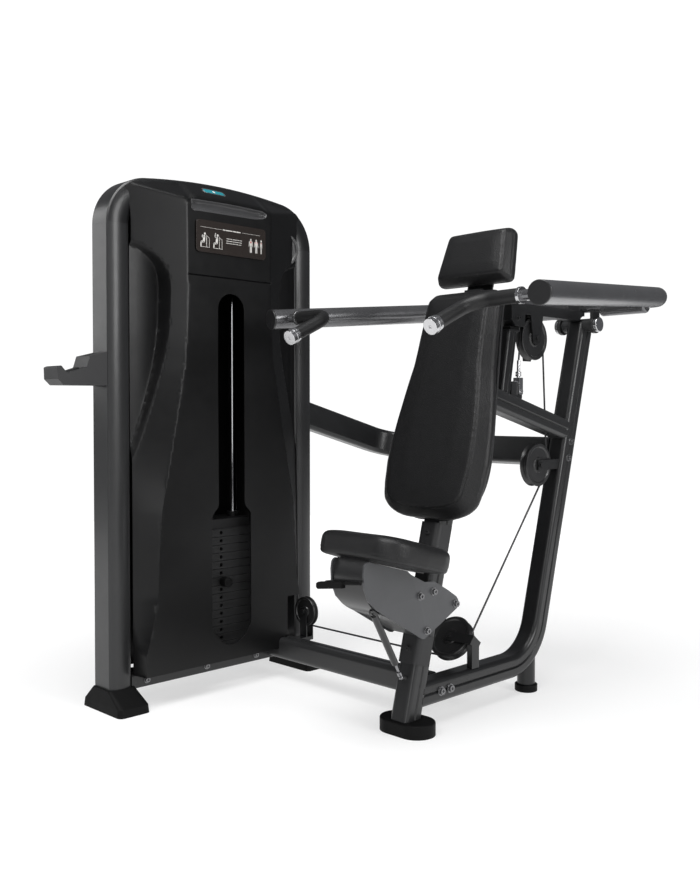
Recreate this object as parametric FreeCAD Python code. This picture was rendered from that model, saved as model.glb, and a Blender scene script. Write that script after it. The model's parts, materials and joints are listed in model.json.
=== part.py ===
import FreeCAD, Part
import math
import os

# Seated shoulder press machine with a weight tower.  Millimetres, +Z up.  The user faces -Y,
# the weight tower stands on the -X side.  While modelling, x = 0 is the seat's centre plane;
# publish() then moves every piece so that the origin is the centre of the footprint.

V = FreeCAD.Vector
X, Y, Z = V(1, 0, 0), V(0, 1, 0), V(0, 0, 1)

# ---- driving dimensions ------------------------------------------------------------------
TUBE_W = 60.0            # frame tube, across
TUBE_D = 65.0            # frame tube, deep
TUBE_R = 14.0            # frame tube, corner radius
GROOVE_W = 8.0           # groove along the middle of the tube's sides
GROOVE_D = 4.0
WALL = 3.0

RAIL_Z = 92.0            # main rail's centre height
RAIL_BEND_R = 150.0      # centreline radius where the rail turns up
UPRIGHT_LEAN = 15.2      # degrees back from vertical
UPRIGHT_FOOT_Y = 744.0   # where the two centrelines would cross

POST_LEAN = 14.5         # seat post
POST_FOOT_Y = 193.0      # its centreline at the floor foot's mid height
POST_FOOT_Z = 35.0
POST_TOP_Z = 1170.0

BEAM_REF = (780.0, 812.0)    # a point (y, z) on the inclined beam's centreline
BEAM_SLOPE = 14.5            # degrees down towards the rear

AXLE_Y, AXLE_Z = 1010.0, 1106.0
AXLE_R = 12.5
AXLE_HALF = 76.0
HOUSING_R = 20.5
HOUSING_HALF = 50.0

ARM_R = 28.5                 # press arm tube
ARM_WALL = 3.5
ARM_FRONT = (455.0, 125.0, 1098.0)
ARM_REAR = (286.0, 1012.0, 1173.0)   # where arm and crossbar centrelines would meet
ARM_BEND_R = 90.0

GRIP_R = 17.5
GRIP_ROOT = (411.0, 160.0, 1101.0)
GRIP_KNEE = (244.0, 160.0, 1099.0)
GRIP_TIP = (242.0, 28.0, 1038.5)
GRIP_BEND_R = 62.0

PULLEY_R = 64.5
GROOVE_R = 57.0              # cable's centreline on the wheels
PULLEY_W = 27.0
PIN_R = 8.0                  # wheel pins
ARM_PULLEY = (0.0, 752.0, 1052.0)
TILTED = (-57.0, 452.0, 193.0)
TILT = 39.6                  # degrees the tilted wheel's plane leans back from vertical
TILT_RUN = 577.5             # cable length from the tilted wheel to the idler
LOW_R, LOW_GROOVE_R, LOW_W = 47.0, 42.0, 20.0
LOW_X = -629.0
TOP_R, TOP_GROOVE_R, TOP_W = 56.0, 50.0, 16.0
TOP_PULLEY_Z = 1352.0
TOP_PULLEY_A = (-680.7, 359.0)
CABLE_R = 2.8

TOWER_Y = 109.0
TOWER_POST_X = (-764.0, -686.0)
TOWER_NEAR_Y = (-269.0, -199.0)
TOWER_FAR_Y = (417.0, 487.0)
TOWER_BASE_Z = 26.0
ARCH_CORNER_R = 105.0
ARCH_TOP_R = 1900.0
ARCH_TOP_Z = 1477.0          # centreline's highest point

STACK_X, STACK_Y = -730.0, 110.0
PLATE = (108.0, 236.0, 24.5)     # weight plate: deep, wide, thick
PLATES_BELOW, PLATES_ABOVE = 8, 7
STACK_BASE_Z = 112.0
STEM_TOP = 545.0
ROD_GAP = 172.0
ROD_R = 12.5

PAD_LEAN = 15.5
SEAT_TILT = 14.6
BODY_GAP = 0.3               # air between pieces of different bodies


# ---- small helpers -----------------------------------------------------------------------
def v(p):
    return V(*p)


def box(x0, x1, y0, y1, z0, z1):
    return Part.makeBox(x1 - x0, y1 - y0, z1 - z0, V(x0, y0, z0))


def rod(r, start, axis, length):
    return Part.makeCylinder(r, length, v(start), axis)


def ring(r_out, r_in, start, axis, length):
    return rod(r_out, start, axis, length).cut(rod(r_in, v(start) - axis * 1.0, axis, length + 2.0))


def basis(origin, ux, uy):
    """Placement whose local x and y run along ux and uy."""
    ux = V(ux).normalize()
    uz = ux.cross(uy).normalize()
    uy = uz.cross(ux)
    m = FreeCAD.Matrix(ux.x, uy.x, uz.x, origin.x, ux.y, uy.y, uz.y, origin.y,
                       ux.z, uy.z, uz.z, origin.z, 0, 0, 0, 1)
    return FreeCAD.Placement(m)


def rounded_rect(w, d, r):
    """Closed wire of a w by d rectangle with corner radius r, centred, in the local XY plane."""
    a, b = w / 2.0, d / 2.0
    k = r * math.sqrt(0.5)
    edges = []
    for sx, sy, start in ((1, 1, 0), (-1, 1, 1), (-1, -1, 2), (1, -1, 3)):
        c = V(sx * (a - r), sy * (b - r), 0)
        a0 = math.radians(90 * start)
        p0 = c + V(math.cos(a0), math.sin(a0), 0) * r
        p2 = c + V(math.cos(a0 + math.pi / 2), math.sin(a0 + math.pi / 2), 0) * r
        edges.append(Part.Arc(p0, c + V(sx * k, sy * k, 0), p2).toShape())
    lines = [Part.LineSegment(edges[i].Vertexes[-1].Point, edges[(i + 1) % 4].Vertexes[0].Point).toShape()
             for i in range(4)]
    wire = []
    for arc, line in zip(edges, lines):
        wire += [arc, line]
    return Part.Wire(Part.__sortEdges__(wire))


def tube_face(w=TUBE_W, d=TUBE_D, r=TUBE_R, groove=True, wall=None):
    """Section of a frame tube: w along local x, d along local y, grooved in the +-x sides."""
    face = Part.Face(rounded_rect(w, d, r))
    if groove:
        for s in (1, -1):
            notch = Part.makePolygon([V(s * (w / 2 + 1), -GROOVE_W / 2 - 1, 0),
                                      V(s * (w / 2 - GROOVE_D), 0, 0),
                                      V(s * (w / 2 + 1), GROOVE_W / 2 + 1, 0),
                                      V(s * (w / 2 + 1), -GROOVE_W / 2 - 1, 0)])
            face = face.cut(Part.Face(notch))
        face = face.Faces[0]
    if wall:
        inner = Part.Face(rounded_rect(w - 2 * wall - 2 * GROOVE_D * groove, d - 2 * wall,
                                       max(r - wall, 2.0)))
        face = face.cut(inner).Faces[0]
    return face


def lay(face, origin, ux, uy):
    out = face.copy()
    out.Placement = basis(origin, ux, uy)
    return out


def bar(face, start, direction, length, ux=X):
    """Extrude a section along a direction, with the section's local x along ux."""
    n = V(direction).normalize()
    return lay(face, v(start), ux, n.cross(ux)).extrude(n * length)


def largest(shape):
    return max(shape.Solids, key=lambda one: one.Volume)


def lean_dir(deg):
    """Up and back along a post that leans by deg."""
    a = math.radians(deg)
    return V(0, math.sin(a), math.cos(a))


def union(shapes):
    out = shapes[0]
    for s in shapes[1:]:
        out = out.fuse(s)
    return out.removeSplitter()


def group(shapes):
    return Part.makeCompound(shapes)


def round_edges(shape, radius, pick=None):
    edges = [e for e in shape.Edges if pick is None or pick(e)]
    try:
        return shape.makeFillet(radius, edges)
    except Part.OCCError:
        return shape


def prism(points, x0, x1):
    """Solid between x0 and x1 from an outline of (y, z) points."""
    ring_points = [V(x0, p[0], p[1]) for p in points]
    ring_points.append(ring_points[0])
    return Part.Face(Part.makePolygon(ring_points)).extrude(V(x1 - x0, 0, 0))


def path_with_arcs(points, radii):
    """Wire of straight runs joined by tangent arcs; radii has one value per inner point."""
    pts = [v(p) for p in points]
    edges = []
    last = pts[0]
    for i in range(1, len(pts) - 1):
        d0 = (pts[i] - pts[i - 1]).normalize()
        d1 = (pts[i + 1] - pts[i]).normalize()
        turn = d0.getAngle(d1)
        t = radii[i - 1] * math.tan(turn / 2)
        a, b = pts[i] - d0 * t, pts[i] + d1 * t
        side = (d1 - d0).normalize()
        centre = pts[i] + side * (radii[i - 1] / math.cos(turn / 2))
        mid = centre - side * radii[i - 1]
        if (a - last).Length > 1e-6:
            edges.append(Part.LineSegment(last, a).toShape())
        edges.append(Part.Arc(a, mid, b).toShape())
        last = b
    if (pts[-1] - last).Length > 1e-6:
        edges.append(Part.LineSegment(last, pts[-1]).toShape())
    return Part.Wire(edges)


def tangent_point(p, c, r, side):
    """Where a line from p touches the circle (c, r); p and c are (y, z), side is +1 or -1."""
    dy, dz = c[0] - p[0], c[1] - p[1]
    dist = math.hypot(dy, dz)
    reach = math.sqrt(dist * dist - r * r)
    a = math.atan2(dz, dy) + side * math.asin(r / dist)
    return p[0] + reach * math.cos(a), p[1] + reach * math.sin(a)


def pipe(wire, r):
    """Round bar of radius r along a wire."""
    start = wire.Edges[0].Vertexes[0].Point
    d = wire.Edges[0].tangentAt(wire.Edges[0].FirstParameter)
    disc = Part.Wire([Part.makeCircle(r, start, d)])
    return wire.makePipeShell([disc], True, False)


def round_tube(wire, r, wall):
    return pipe(wire, r).cut(pipe(wire, r - wall))


def arc_wire(centre, u, w, r, a0, a1):
    """Arc about centre in the plane of u and w, from angle a0 to a1 in degrees."""
    def at(a):
        return centre + u * (r * math.cos(math.radians(a))) + w * (r * math.sin(math.radians(a)))
    return Part.Wire([Part.Arc(at(a0), at((a0 + a1) / 2), at(a1)).toShape()])


def bolt_head(pos, axis, r=9.0, head=6.0):
    """Socket-head bolt and washer, standing out along axis from pos."""
    axis = V(axis).normalize()
    p = v(pos)
    washer = Part.makeCylinder(r * 1.15, 1.6, p, axis)
    cap = Part.makeCylinder(r * 0.82, head, p + axis * 1.6, axis)
    socket = Part.makeCylinder(r * 0.36, head * 0.6, p + axis * (1.6 + head * 0.5), axis)
    return washer.fuse(cap).cut(socket).removeSplitter()


def pulley(centre, axis, r_out, r_groove, width, bore=8.1):
    """Grooved cable wheel, turned about its own axis."""
    half = width / 2.0
    rim = 3.0
    prof = [V(bore, 0, -half), V(r_out * 0.34, 0, -half), V(r_out * 0.38, 0, -half + 3.5),
            V(r_out * 0.80, 0, -half + 3.5), V(r_out * 0.86, 0, -half + 0.5), V(r_out - 2.0, 0, -half + 0.5),
            V(r_out, 0, -half + 2.5), V(r_groove - CABLE_R - 0.3, 0, -rim),
            V(r_groove - CABLE_R - 0.3, 0, rim), V(r_out, 0, half - 2.5), V(r_out - 2.0, 0, half - 0.5),
            V(r_out * 0.86, 0, half - 0.5), V(r_out * 0.80, 0, half - 3.5), V(r_out * 0.38, 0, half - 3.5),
            V(r_out * 0.34, 0, half), V(bore, 0, half)]
    face = Part.Face(Part.makePolygon(prof + [prof[0]]))
    wheel = face.revolve(V(0, 0, 0), Z, 360)
    axis = V(axis).normalize()
    helper = X if abs(axis.x) < 0.9 else Y
    ux = helper - axis * helper.dot(axis)
    wheel.Placement = basis(v(centre), ux, axis.cross(ux))
    return wheel


# ---- centrelines that several pieces share -----------------------------------------------
UP = lean_dir(UPRIGHT_LEAN)
POST = lean_dir(POST_LEAN)
POST_BACK = V(0, math.cos(math.radians(POST_LEAN)), -math.sin(math.radians(POST_LEAN)))
UP_BACK = V(0, math.cos(math.radians(UPRIGHT_LEAN)), -math.sin(math.radians(UPRIGHT_LEAN)))
BEAM = V(0, math.cos(math.radians(BEAM_SLOPE)), -math.sin(math.radians(BEAM_SLOPE)))
BEAM_UP = V(0, math.sin(math.radians(BEAM_SLOPE)), math.cos(math.radians(BEAM_SLOPE)))


def upright_at(z):
    """Point on the rear upright's centreline at height z."""
    return V(0, UPRIGHT_FOOT_Y + (z - RAIL_Z) * math.tan(math.radians(UPRIGHT_LEAN)), z)


def post_at(z):
    return V(0, POST_FOOT_Y + (z - POST_FOOT_Z) * math.tan(math.radians(POST_LEAN)), z)


def beam_at(y):
    return V(0, y, BEAM_REF[1] - (y - BEAM_REF[0]) * math.tan(math.radians(BEAM_SLOPE)))


# ---- frame -------------------------------------------------------------------------------
def pad_seat(wall):
    """Space in front of the back pad's rear plane, grown by wall, that the seat post is cut back from."""
    low = PAD_BASE - PAD_UP * (6.0 + wall) - PAD_N * wall
    block = Part.makePlane(200.0, 700.0)
    block.Placement = basis(low - X * 100, X, PAD_UP)
    return block.extrude(PAD_N * 90.0)


def seat_post(wall=WALL):
    """Leaning post; its upper front is cut back to a flat, closed seat for the back pad."""
    base = post_at(8.0) - POST * 20.0
    length = (post_at(POST_TOP_Z) - base).Length
    bulk = bar(tube_face(wall=None), base, POST, length)
    post = bulk.cut(pad_seat(0.0))
    if wall:
        bore = bulk.cut(bar(tube_face(wall=wall), base, POST, length)).cut(pad_seat(wall))
        post = post.cut(bore)
    return post.cut(box(-200, 200, -200, 1200, -100, 12.0))


def main_tube(wall=WALL):
    """Main rail, the large bend and the rear upright, bent from one tube."""
    turn = 90.0 - UPRIGHT_LEAN
    t = RAIL_BEND_R * math.tan(math.radians(turn / 2))
    start_y = post_at(RAIL_Z).y
    bend_y = UPRIGHT_FOOT_Y - t
    face = tube_face(wall=wall)
    rail = bar(face, V(0, start_y, RAIL_Z), Y, bend_y - start_y)
    centre = V(0, bend_y, RAIL_Z + RAIL_BEND_R)
    bend = lay(face, V(0, bend_y, RAIL_Z), X, Z * -1.0).revolve(centre, X, turn)
    foot = upright_at(RAIL_Z) + UP * t
    length = (V(0, upright_at(AXLE_Z).y, AXLE_Z) - foot).Length
    return union([rail, bend, bar(face, foot, UP, length)])


def post_outer():
    return seat_post(wall=None)


def main_outer():
    return main_tube(wall=None)


def beam_outer():
    start, end = beam_at(400.0), beam_at(965.0)
    return bar(tube_face(d=63.0), start, BEAM, (end - start).Length)


def inclined_beam():
    """Beam between seat post and upright, with the cable's hole and its anchor lug."""
    start, end = beam_at(400.0), beam_at(965.0)
    beam = bar(tube_face(d=63.0, wall=WALL), start, BEAM, (end - start).Length)
    before_post = bar(tube_face(w=200, d=400, r=1, groove=False),
                      post_at(400.0) - POST_BACK * (200.0 - TUBE_D / 2), POST, 900)
    beam = largest(beam.cut(before_post).cut(main_outer()))
    beam = beam.cut(rod(13.0, REAR_TOP, REAR_DIR, 400))
    lug = prism([(643, 860), (645, 917), (652, 923), (686, 917), (695, 908), (697, 878), (690, 850)], -6, 6)
    lug = lug.cut(beam_outer()).cut(rod(5.0, V(-20, ANCHOR[0], ANCHOR[1]), X, 40))
    return beam.fuse(lug)


def cross_rail():
    """Lower rail from the main rail to the weight tower."""
    face = tube_face(w=66.0, d=59.0, wall=WALL)
    return bar(face, V(-TUBE_W / 2, 324, RAIL_Z), X * -1.0, 684.0 - TUBE_W / 2, Z).cut(main_outer())


CROSS_N = V(0, math.sin(math.radians(UPRIGHT_LEAN)), math.cos(math.radians(UPRIGHT_LEAN)))
CROSS_FWD = V(0, -math.cos(math.radians(UPRIGHT_LEAN)), math.sin(math.radians(UPRIGHT_LEAN)))
CROSS_Z = 709.0
CROSS_CORNER_X = -725.0
CROSS_BEND_R = 110.0


def upper_cross_tube():
    """From the upright's side, along -X behind the pad, then forward and up to the tower."""
    start = upright_at(CROSS_Z) + V(-TUBE_W / 2, 0, 0)
    face = tube_face(w=86.0, d=58.0, groove=False, wall=WALL)
    run = -CROSS_CORNER_X - TUBE_W / 2 - CROSS_BEND_R
    first = lay(face, start, CROSS_N, CROSS_FWD).extrude(X * -run)
    bend_start = start - X * run
    centre = bend_start + CROSS_FWD * CROSS_BEND_R
    bend = lay(face, bend_start, CROSS_N, CROSS_FWD).revolve(centre, CROSS_N, 90)
    second_start = centre - X * CROSS_BEND_R
    reach = (second_start.y - TOWER_FAR_Y[1]) / math.cos(math.radians(UPRIGHT_LEAN)) + 30.0
    second = lay(face, second_start, CROSS_N, X).extrude(CROSS_FWD * reach)
    return largest(union([first, bend, second]).cut(box(-900, -600, 300, TOWER_FAR_Y[1], 600, 1000)))


def axle_housing():
    sleeve = ring(HOUSING_R, AXLE_R + 0.05, V(-HOUSING_HALF, AXLE_Y, AXLE_Z), X, 2 * HOUSING_HALF)
    return sleeve


BUMPER_POST_LEAN = 10.5


def bumper_post():
    """Short post on the inclined beam that carries the press arm's rest stop."""
    post = bar(tube_face(w=42.0, d=44.0, r=9.0, wall=WALL), V(0, 592, 850), lean_dir(BUMPER_POST_LEAN), 236.0)
    post = post.cut(beam_outer()).cut(box(-60, 60, 500, 700, 1066, 1200))
    post = max(post.Solids, key=lambda one: one.BoundBox.ZMax)
    return post.fuse(box(-23, 23, 608, 662, 1066, 1071))


def rear_foot():
    """Stub leg under the rail's bend, and its rubber ring."""
    y = 732.0
    stub = rod(26.5, V(0, y, 14.0), Z, 120.0).cut(main_outer())
    stub = min(stub.Solids, key=lambda one: one.BoundBox.ZMin)
    shoe = rod(33.5, V(0, y, 0), Z, 22.0)
    shoe = round_edges(shoe, 3.0).cut(rod(26.5, V(0, y, 14.0), Z, 20.0))
    return stub, shoe


def seat_post_foot():
    half, y0, y1, h = 81.0, 149.0, 250.0, 36.0
    r = (y1 - y0) / 2
    mid = (y0 + y1) / 2
    body = union([rod(r, V(-half + r, mid, 0), Z, h), rod(r, V(half - r, mid, 0), Z, h),
                  box(-half + r, half - r, y0, y1, 0, h)])
    body = round_edges(body, 5.0, lambda e: e.BoundBox.ZMin > h - 0.1)
    return body.cut(post_outer())


def post_collars():
    """Moulded end stops wrapped round the seat post's front, each held by one bolt."""
    out = []
    for z0, z1, bolt_z in ((467.0, 533.0, 505.0), (172.0, 248.0, 209.0)):
        length = (z1 - z0) / POST.z
        o = post_at(z0)
        shell = bar(tube_face(w=TUBE_W + 9, d=TUBE_D + 9, r=TUBE_R + 3, groove=False), o, POST, length)
        behind = bar(tube_face(w=140, d=90, r=1, groove=False), o + POST_BACK * 63.0 - POST * 20, POST,
                     length + 40)
        shell = shell.cut(behind).cut(post_outer())
        face = post_at(bolt_z) - POST_BACK * (TUBE_D / 2 + 4.5)
        out += [largest(shell), bolt_head(face, POST_BACK * -1.0, r=7.0, head=3.5)]
    return group(out)


# ---- tower -------------------------------------------------------------------------------
def tower_section():
    """Post section: local x across the tower's thickness, local y outwards; rounded front."""
    x0, x1 = TOWER_POST_X
    half = (x1 - x0) / 2
    depth = TOWER_NEAR_Y[1] - TOWER_NEAR_Y[0]
    d = depth / 2
    bulge = 7.0
    a, b, c = V(half, d - 4, 0), V(half + bulge, 0, 0), V(half, -d + 4, 0)
    pts = [V(half - 4, -d, 0), V(-half, -d, 0), V(-half, d, 0), V(half - 4, d, 0), a]
    edges = [Part.LineSegment(pts[i], pts[i + 1]).toShape() for i in range(4)]
    edges.append(Part.Arc(a, b, c).toShape())
    edges.append(Part.LineSegment(c, pts[0]).toShape())
    outer = Part.Face(Part.Wire(edges))
    inner = Part.Face(rounded_rect(2 * half - 2 * WALL, 2 * d - 2 * WALL, 6.0))
    return outer.cut(inner).Faces[0]


TOWER_X = (TOWER_POST_X[0] + TOWER_POST_X[1]) / 2
NEAR_C = (TOWER_NEAR_Y[0] + TOWER_NEAR_Y[1]) / 2
FAR_C = (TOWER_FAR_Y[0] + TOWER_FAR_Y[1]) / 2
HALF_SPAN = (FAR_C - NEAR_C) / 2 - ARCH_CORNER_R
CORNER_Z = ARCH_TOP_Z - ARCH_TOP_R + math.sqrt((ARCH_TOP_R - ARCH_CORNER_R) ** 2 - HALF_SPAN ** 2)
CORNER_TURN = 90.0 - math.degrees(math.asin(HALF_SPAN / (ARCH_TOP_R - ARCH_CORNER_R)))


def tower_posts():
    out = []
    for cy, side in ((NEAR_C, -1), (FAR_C, 1)):
        face = tower_section()
        out.append(lay(face, V(TOWER_X, cy, TOWER_BASE_Z), X, Y).extrude(Z * (CORNER_Z - TOWER_BASE_Z)))
    return group(out)


def tower_arch():
    near = lay(tower_section(), V(TOWER_X, NEAR_C, CORNER_Z), X, Y)
    near = near.revolve(V(TOWER_X, NEAR_C + ARCH_CORNER_R, CORNER_Z), X * -1.0, CORNER_TURN)
    far = lay(tower_section(), V(TOWER_X, FAR_C, CORNER_Z), X, Y)
    far = far.revolve(V(TOWER_X, FAR_C - ARCH_CORNER_R, CORNER_Z), X, CORNER_TURN)
    a = math.radians(90.0 - CORNER_TURN)
    out = V(0, -math.sin(a), math.cos(a))
    top_centre = V(TOWER_X, TOWER_Y, ARCH_TOP_Z - ARCH_TOP_R)
    top = lay(tower_section(), top_centre + out * ARCH_TOP_R, X, out * -1.0)
    top = top.revolve(top_centre, X * -1.0, 2 * (90.0 - CORNER_TURN))
    return union([near, top, far])


def tower_feet():
    """Flared rubber boots under the two posts."""
    out = []
    for cy in (NEAR_C, FAR_C):
        flare_x, flare_y = 202.0, 100.0
        low = rounded_rect(flare_x, flare_y, 16.0)
        mid = rounded_rect(flare_x - 6, flare_y - 4, 15.0)
        top = rounded_rect(92.0, 84.0, 10.0)
        wires = []
        for wire, z, dx in ((low, 0.0, 0.0), (mid, 22.0, 0.0), (top, 60.0, 2.0)):
            w = wire.copy()
            w.translate(V(TOWER_X + 15.0 + dx - 15.0 + (z < 30) * 15.0, cy, z))
            wires.append(w)
        boot = Part.makeLoft(wires[:2], True, True).fuse(Part.makeLoft(wires[1:], True, True))
        pocket = box(TOWER_POST_X[0], TOWER_POST_X[1] + 8, cy - 35, cy + 35, TOWER_BASE_Z, 80)
        inner = cy + (60 if cy < TOWER_Y else -60)
        notch = box(TOWER_POST_X[0] - 1, TOWER_POST_X[1] + 3, min(cy, inner), max(cy, inner), 49.7, 80)
        out.append(boot.removeSplitter().cut(pocket).cut(notch))
    return group(out)


def tower_rails():
    """Two base members and one head member between the posts; the guide rods stand between."""
    y0, y1 = TOWER_NEAR_Y[1], TOWER_FAR_Y[0]
    long_edges = (lambda e: e.BoundBox.YMax - e.BoundBox.YMin > 100)
    front = round_edges(box(-722, -684, y0, y1, 50, 91), 5.0, long_edges)
    back = round_edges(box(-764, -726, y0, y1, 50, 91), 5.0, long_edges)
    head = round_edges(box(-756, -704, y0, y1, RODS_TOP, RODS_TOP + 22), 5.0, long_edges)
    head = head.cut(rod(7.0, V(STACK_X, STACK_Y, RODS_TOP - 5), Z, 40))
    return group([front, back, head])


RODS_TOP = 1262.0
SHROUD_Z = (92.0, 1229.0)
COVER_Z = (1232.0, 1304.0)
DOME_Z = COVER_Z[1]
DOME_SHOULDER_Z = 1378.0
TRAY_HALF = 136.0
TRAY_Z = (1414.0, 1440.0)
SLOT_HALF = 49.0
HAND_SLOT_HALF = 73.0


def shroud_outline(offset, recess):
    """Half outline (y from the tower's centre, x) of the moulded front, from rim to centre."""
    return [(307.5, -660.0 - offset), (286.0, -660.0 - offset), (262.0, recess + 12 - offset),
            (240.0, recess - offset), (205.0, recess + 4 - offset), (168.0, -640.0 - offset),
            (152.0, -625.0 - offset), (80.0, -621.0 - offset), (0.0, -620.0 - offset)]


def moulded_front(recess, thick, z0, z1):
    outer, inner = shroud_outline(0.0, recess), shroud_outline(thick, recess)
    loop = [V(x, TOWER_Y - y, z0) for y, x in outer] + [V(x, TOWER_Y + y, z0) for y, x in outer[-2::-1]]
    loop += [V(x, TOWER_Y + y, z0) for y, x in inner] + [V(x, TOWER_Y - y, z0) for y, x in inner[-2::-1]]
    return Part.Face(Part.makePolygon(loop + [loop[0]])).extrude(Z * (z1 - z0))


def slot_tool():
    """The long selector slot, with its wide hand section, as one cutting solid."""
    def obround(half, z0, z1):
        return union([box(-700, -600, TOWER_Y + 1 - half, TOWER_Y + 1 + half, z0 + half, z1 - half),
                      rod(half, V(-700, TOWER_Y + 1, z0 + half), X, 100),
                      rod(half, V(-700, TOWER_Y + 1, z1 - half), X, 100)])
    return union([obround(SLOT_HALF, 138.0, 1184.0), obround(HAND_SLOT_HALF, 168.0, 560.0)])


def shroud_front():
    skin = moulded_front(-702.0, 4.0, *SHROUD_Z).cut(slot_tool())
    skin = skin.cut(box(-760, -560, 288, 420, 80, 130))
    return skin.cut(box(-760, -560, 330, 420, 80, 252))


def arch_wire(x0, z0, grow=0.0):
    """Outline of the arch's inside above z0, with clearance, grown outwards by grow."""
    gap = 0.6 - grow
    arch_z0 = ARCH_TOP_Z - ARCH_TOP_R
    r_in = ARCH_TOP_R - 35.0 - gap
    corner_r = ARCH_CORNER_R - 35.0 - gap
    y0, y1 = TOWER_NEAR_Y[1] + gap, TOWER_FAR_Y[0] - gap
    a = math.radians(90.0 - CORNER_TURN)
    near_c, far_c = y0 + corner_r, y1 - corner_r
    top = V(x0, TOWER_Y, arch_z0 + r_in)
    p_near = V(x0, TOWER_Y - r_in * math.sin(a), arch_z0 + r_in * math.cos(a))
    p_far = V(x0, TOWER_Y + r_in * math.sin(a), arch_z0 + r_in * math.cos(a))
    b = math.radians(CORNER_TURN / 2)
    m_near = V(x0, near_c - corner_r * math.cos(b), CORNER_Z + corner_r * math.sin(b))
    m_far = V(x0, far_c + corner_r * math.cos(b), CORNER_Z + corner_r * math.sin(b))
    return Part.Wire([Part.LineSegment(V(x0, y1, z0), V(x0, y0, z0)).toShape(),
                      Part.LineSegment(V(x0, y0, z0), V(x0, y0, CORNER_Z)).toShape(),
                      Part.Arc(V(x0, y0, CORNER_Z), m_near, p_near).toShape(),
                      Part.Arc(p_near, top, p_far).toShape(),
                      Part.Arc(p_far, m_far, V(x0, y1, CORNER_Z)).toShape(),
                      Part.LineSegment(V(x0, y1, CORNER_Z), V(x0, y1, z0)).toShape()])


def arch_fill(x0, x1, z0):
    """Solid filling the arch's inside above z0, between x0 and x1, with clearance."""
    return Part.Face(arch_wire(x0, z0)).extrude(V(x1 - x0, 0, 0))


def head_dome():
    """Domed upper part of the head cover: it rounds back over the arch's front."""
    layers = ((-678.4, 58.0), (-668.0, 55.0), (-650.0, 44.0), (-636.0, 27.0), (-626.0, 4.0), (-621.0, -24.0),
              (-620.0, -50.0))
    dome = union([Part.makeLoft([arch_wire(a[0], DOME_Z, a[1]), arch_wire(b[0], DOME_Z, b[1])], True, True)
                  for a, b in zip(layers, layers[1:])])
    y0, y1 = TOWER_NEAR_Y[1] + 0.6, TOWER_FAR_Y[0] - 0.6
    for side in ((-400.0, y0), (y1, 600.0)):
        dome = dome.cut(box(-800, -600, side[0], side[1], DOME_Z - 5, DOME_SHOULDER_Z))
    hollow = arch_fill(-720.0, -629.0, DOME_Z - 20)
    hollow.translate(V(0, 0, -5))
    return dome.cut(hollow.common(box(-800, -600, y0 + 4, y1 - 4, DOME_Z - 30, 1500)))


def top_cover():
    """Moulded head cover: a panel with the tray's recess in its upper edge, and a domed cap over it."""
    skin = moulded_front(-644.0, 4.0, COVER_Z[0], DOME_Z + 1.0)
    lower = arch_fill(-720.0, -600.0, COVER_Z[0] - 10)
    lower.translate(V(0, 0, -5))
    roof = arch_fill(-698.0, -640.0, DOME_Z).cut(lower)
    cover = union([skin, roof, head_dome()])
    cover = cover.cut(Part.makeCylinder(TOP_R + 1.5, TOP_W + 2.4, TOP_A - TOP_AXIS * (TOP_W / 2 + 1.2), TOP_AXIS))
    y0, y1 = TOWER_Y - TRAY_HALF - 0.4, TOWER_Y + TRAY_HALF + 0.4
    cover = cover.cut(box(-700, -600, y0, y1, TRAY_Z[0] - 0.4, TRAY_Z[1] + 0.4))
    panel = cover.common(box(-760, -560, -400, 600, 1200, TRAY_Z[1] + 0.2))
    cap = cover.common(box(-760, -560, -400, 600, TRAY_Z[1] + 0.4, 1520))
    return group([largest(panel), largest(cap)])


def top_tray():
    """Glossy scoop set into the cover's upper front."""
    y0, y1 = TOWER_Y - TRAY_HALF, TOWER_Y + TRAY_HALF
    body = box(-668, -616, y0, y1, *TRAY_Z)
    return body.cut(box(-664, -600, y0 + 4, y1 - 4, TRAY_Z[0] + 4, TRAY_Z[1] + 20))


def placard():
    """Thin printed plate on the head cover."""
    plate = box(-619.9, -617.4, TOWER_Y - 129, TOWER_Y + 129, 1296, 1389)
    return round_edges(plate, 12.0, lambda e: e.BoundBox.XMax - e.BoundBox.XMin > 2
                       and e.BoundBox.ZMax - e.BoundBox.ZMin < 0.1)


def shroud_back():
    sheet = arch_fill(-790.0, -787.0, 92.0)
    wing = box(-787.0, -764.3, TOWER_NEAR_Y[1] + 0.6, TOWER_NEAR_Y[1] + 3.6, 92.0, 1300.0)
    other = box(-787.0, -764.3, TOWER_FAR_Y[0] - 3.6, TOWER_FAR_Y[0] - 0.6, 92.0, 1300.0)
    return union([sheet, wing, other])


def accessory_holder():
    """Moulded holder on the near post: back block, open well and a raised front lip."""
    y = TOWER_NEAR_Y[0]
    body = prism([(y, 907), (y, 1000), (y - 52, 987), (y - 62, 956), (y - 120, 938), (y - 138, 958),
                  (y - 149, 954), (y - 148, 922), (y - 131, 906)], -764, -688)
    body = round_edges(body, 3.0, lambda e: e.BoundBox.XMax - e.BoundBox.XMin > 60
                       and e.BoundBox.YMax < y - 1)
    return body.cut(rod(28.0, V(-726, y - 90, 916), Z, 120))


def guide_rods():
    return group([rod(ROD_R, V(STACK_X, STACK_Y + s * ROD_GAP / 2, 91), Z, RODS_TOP - 91) for s in (-1, 1)])


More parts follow.
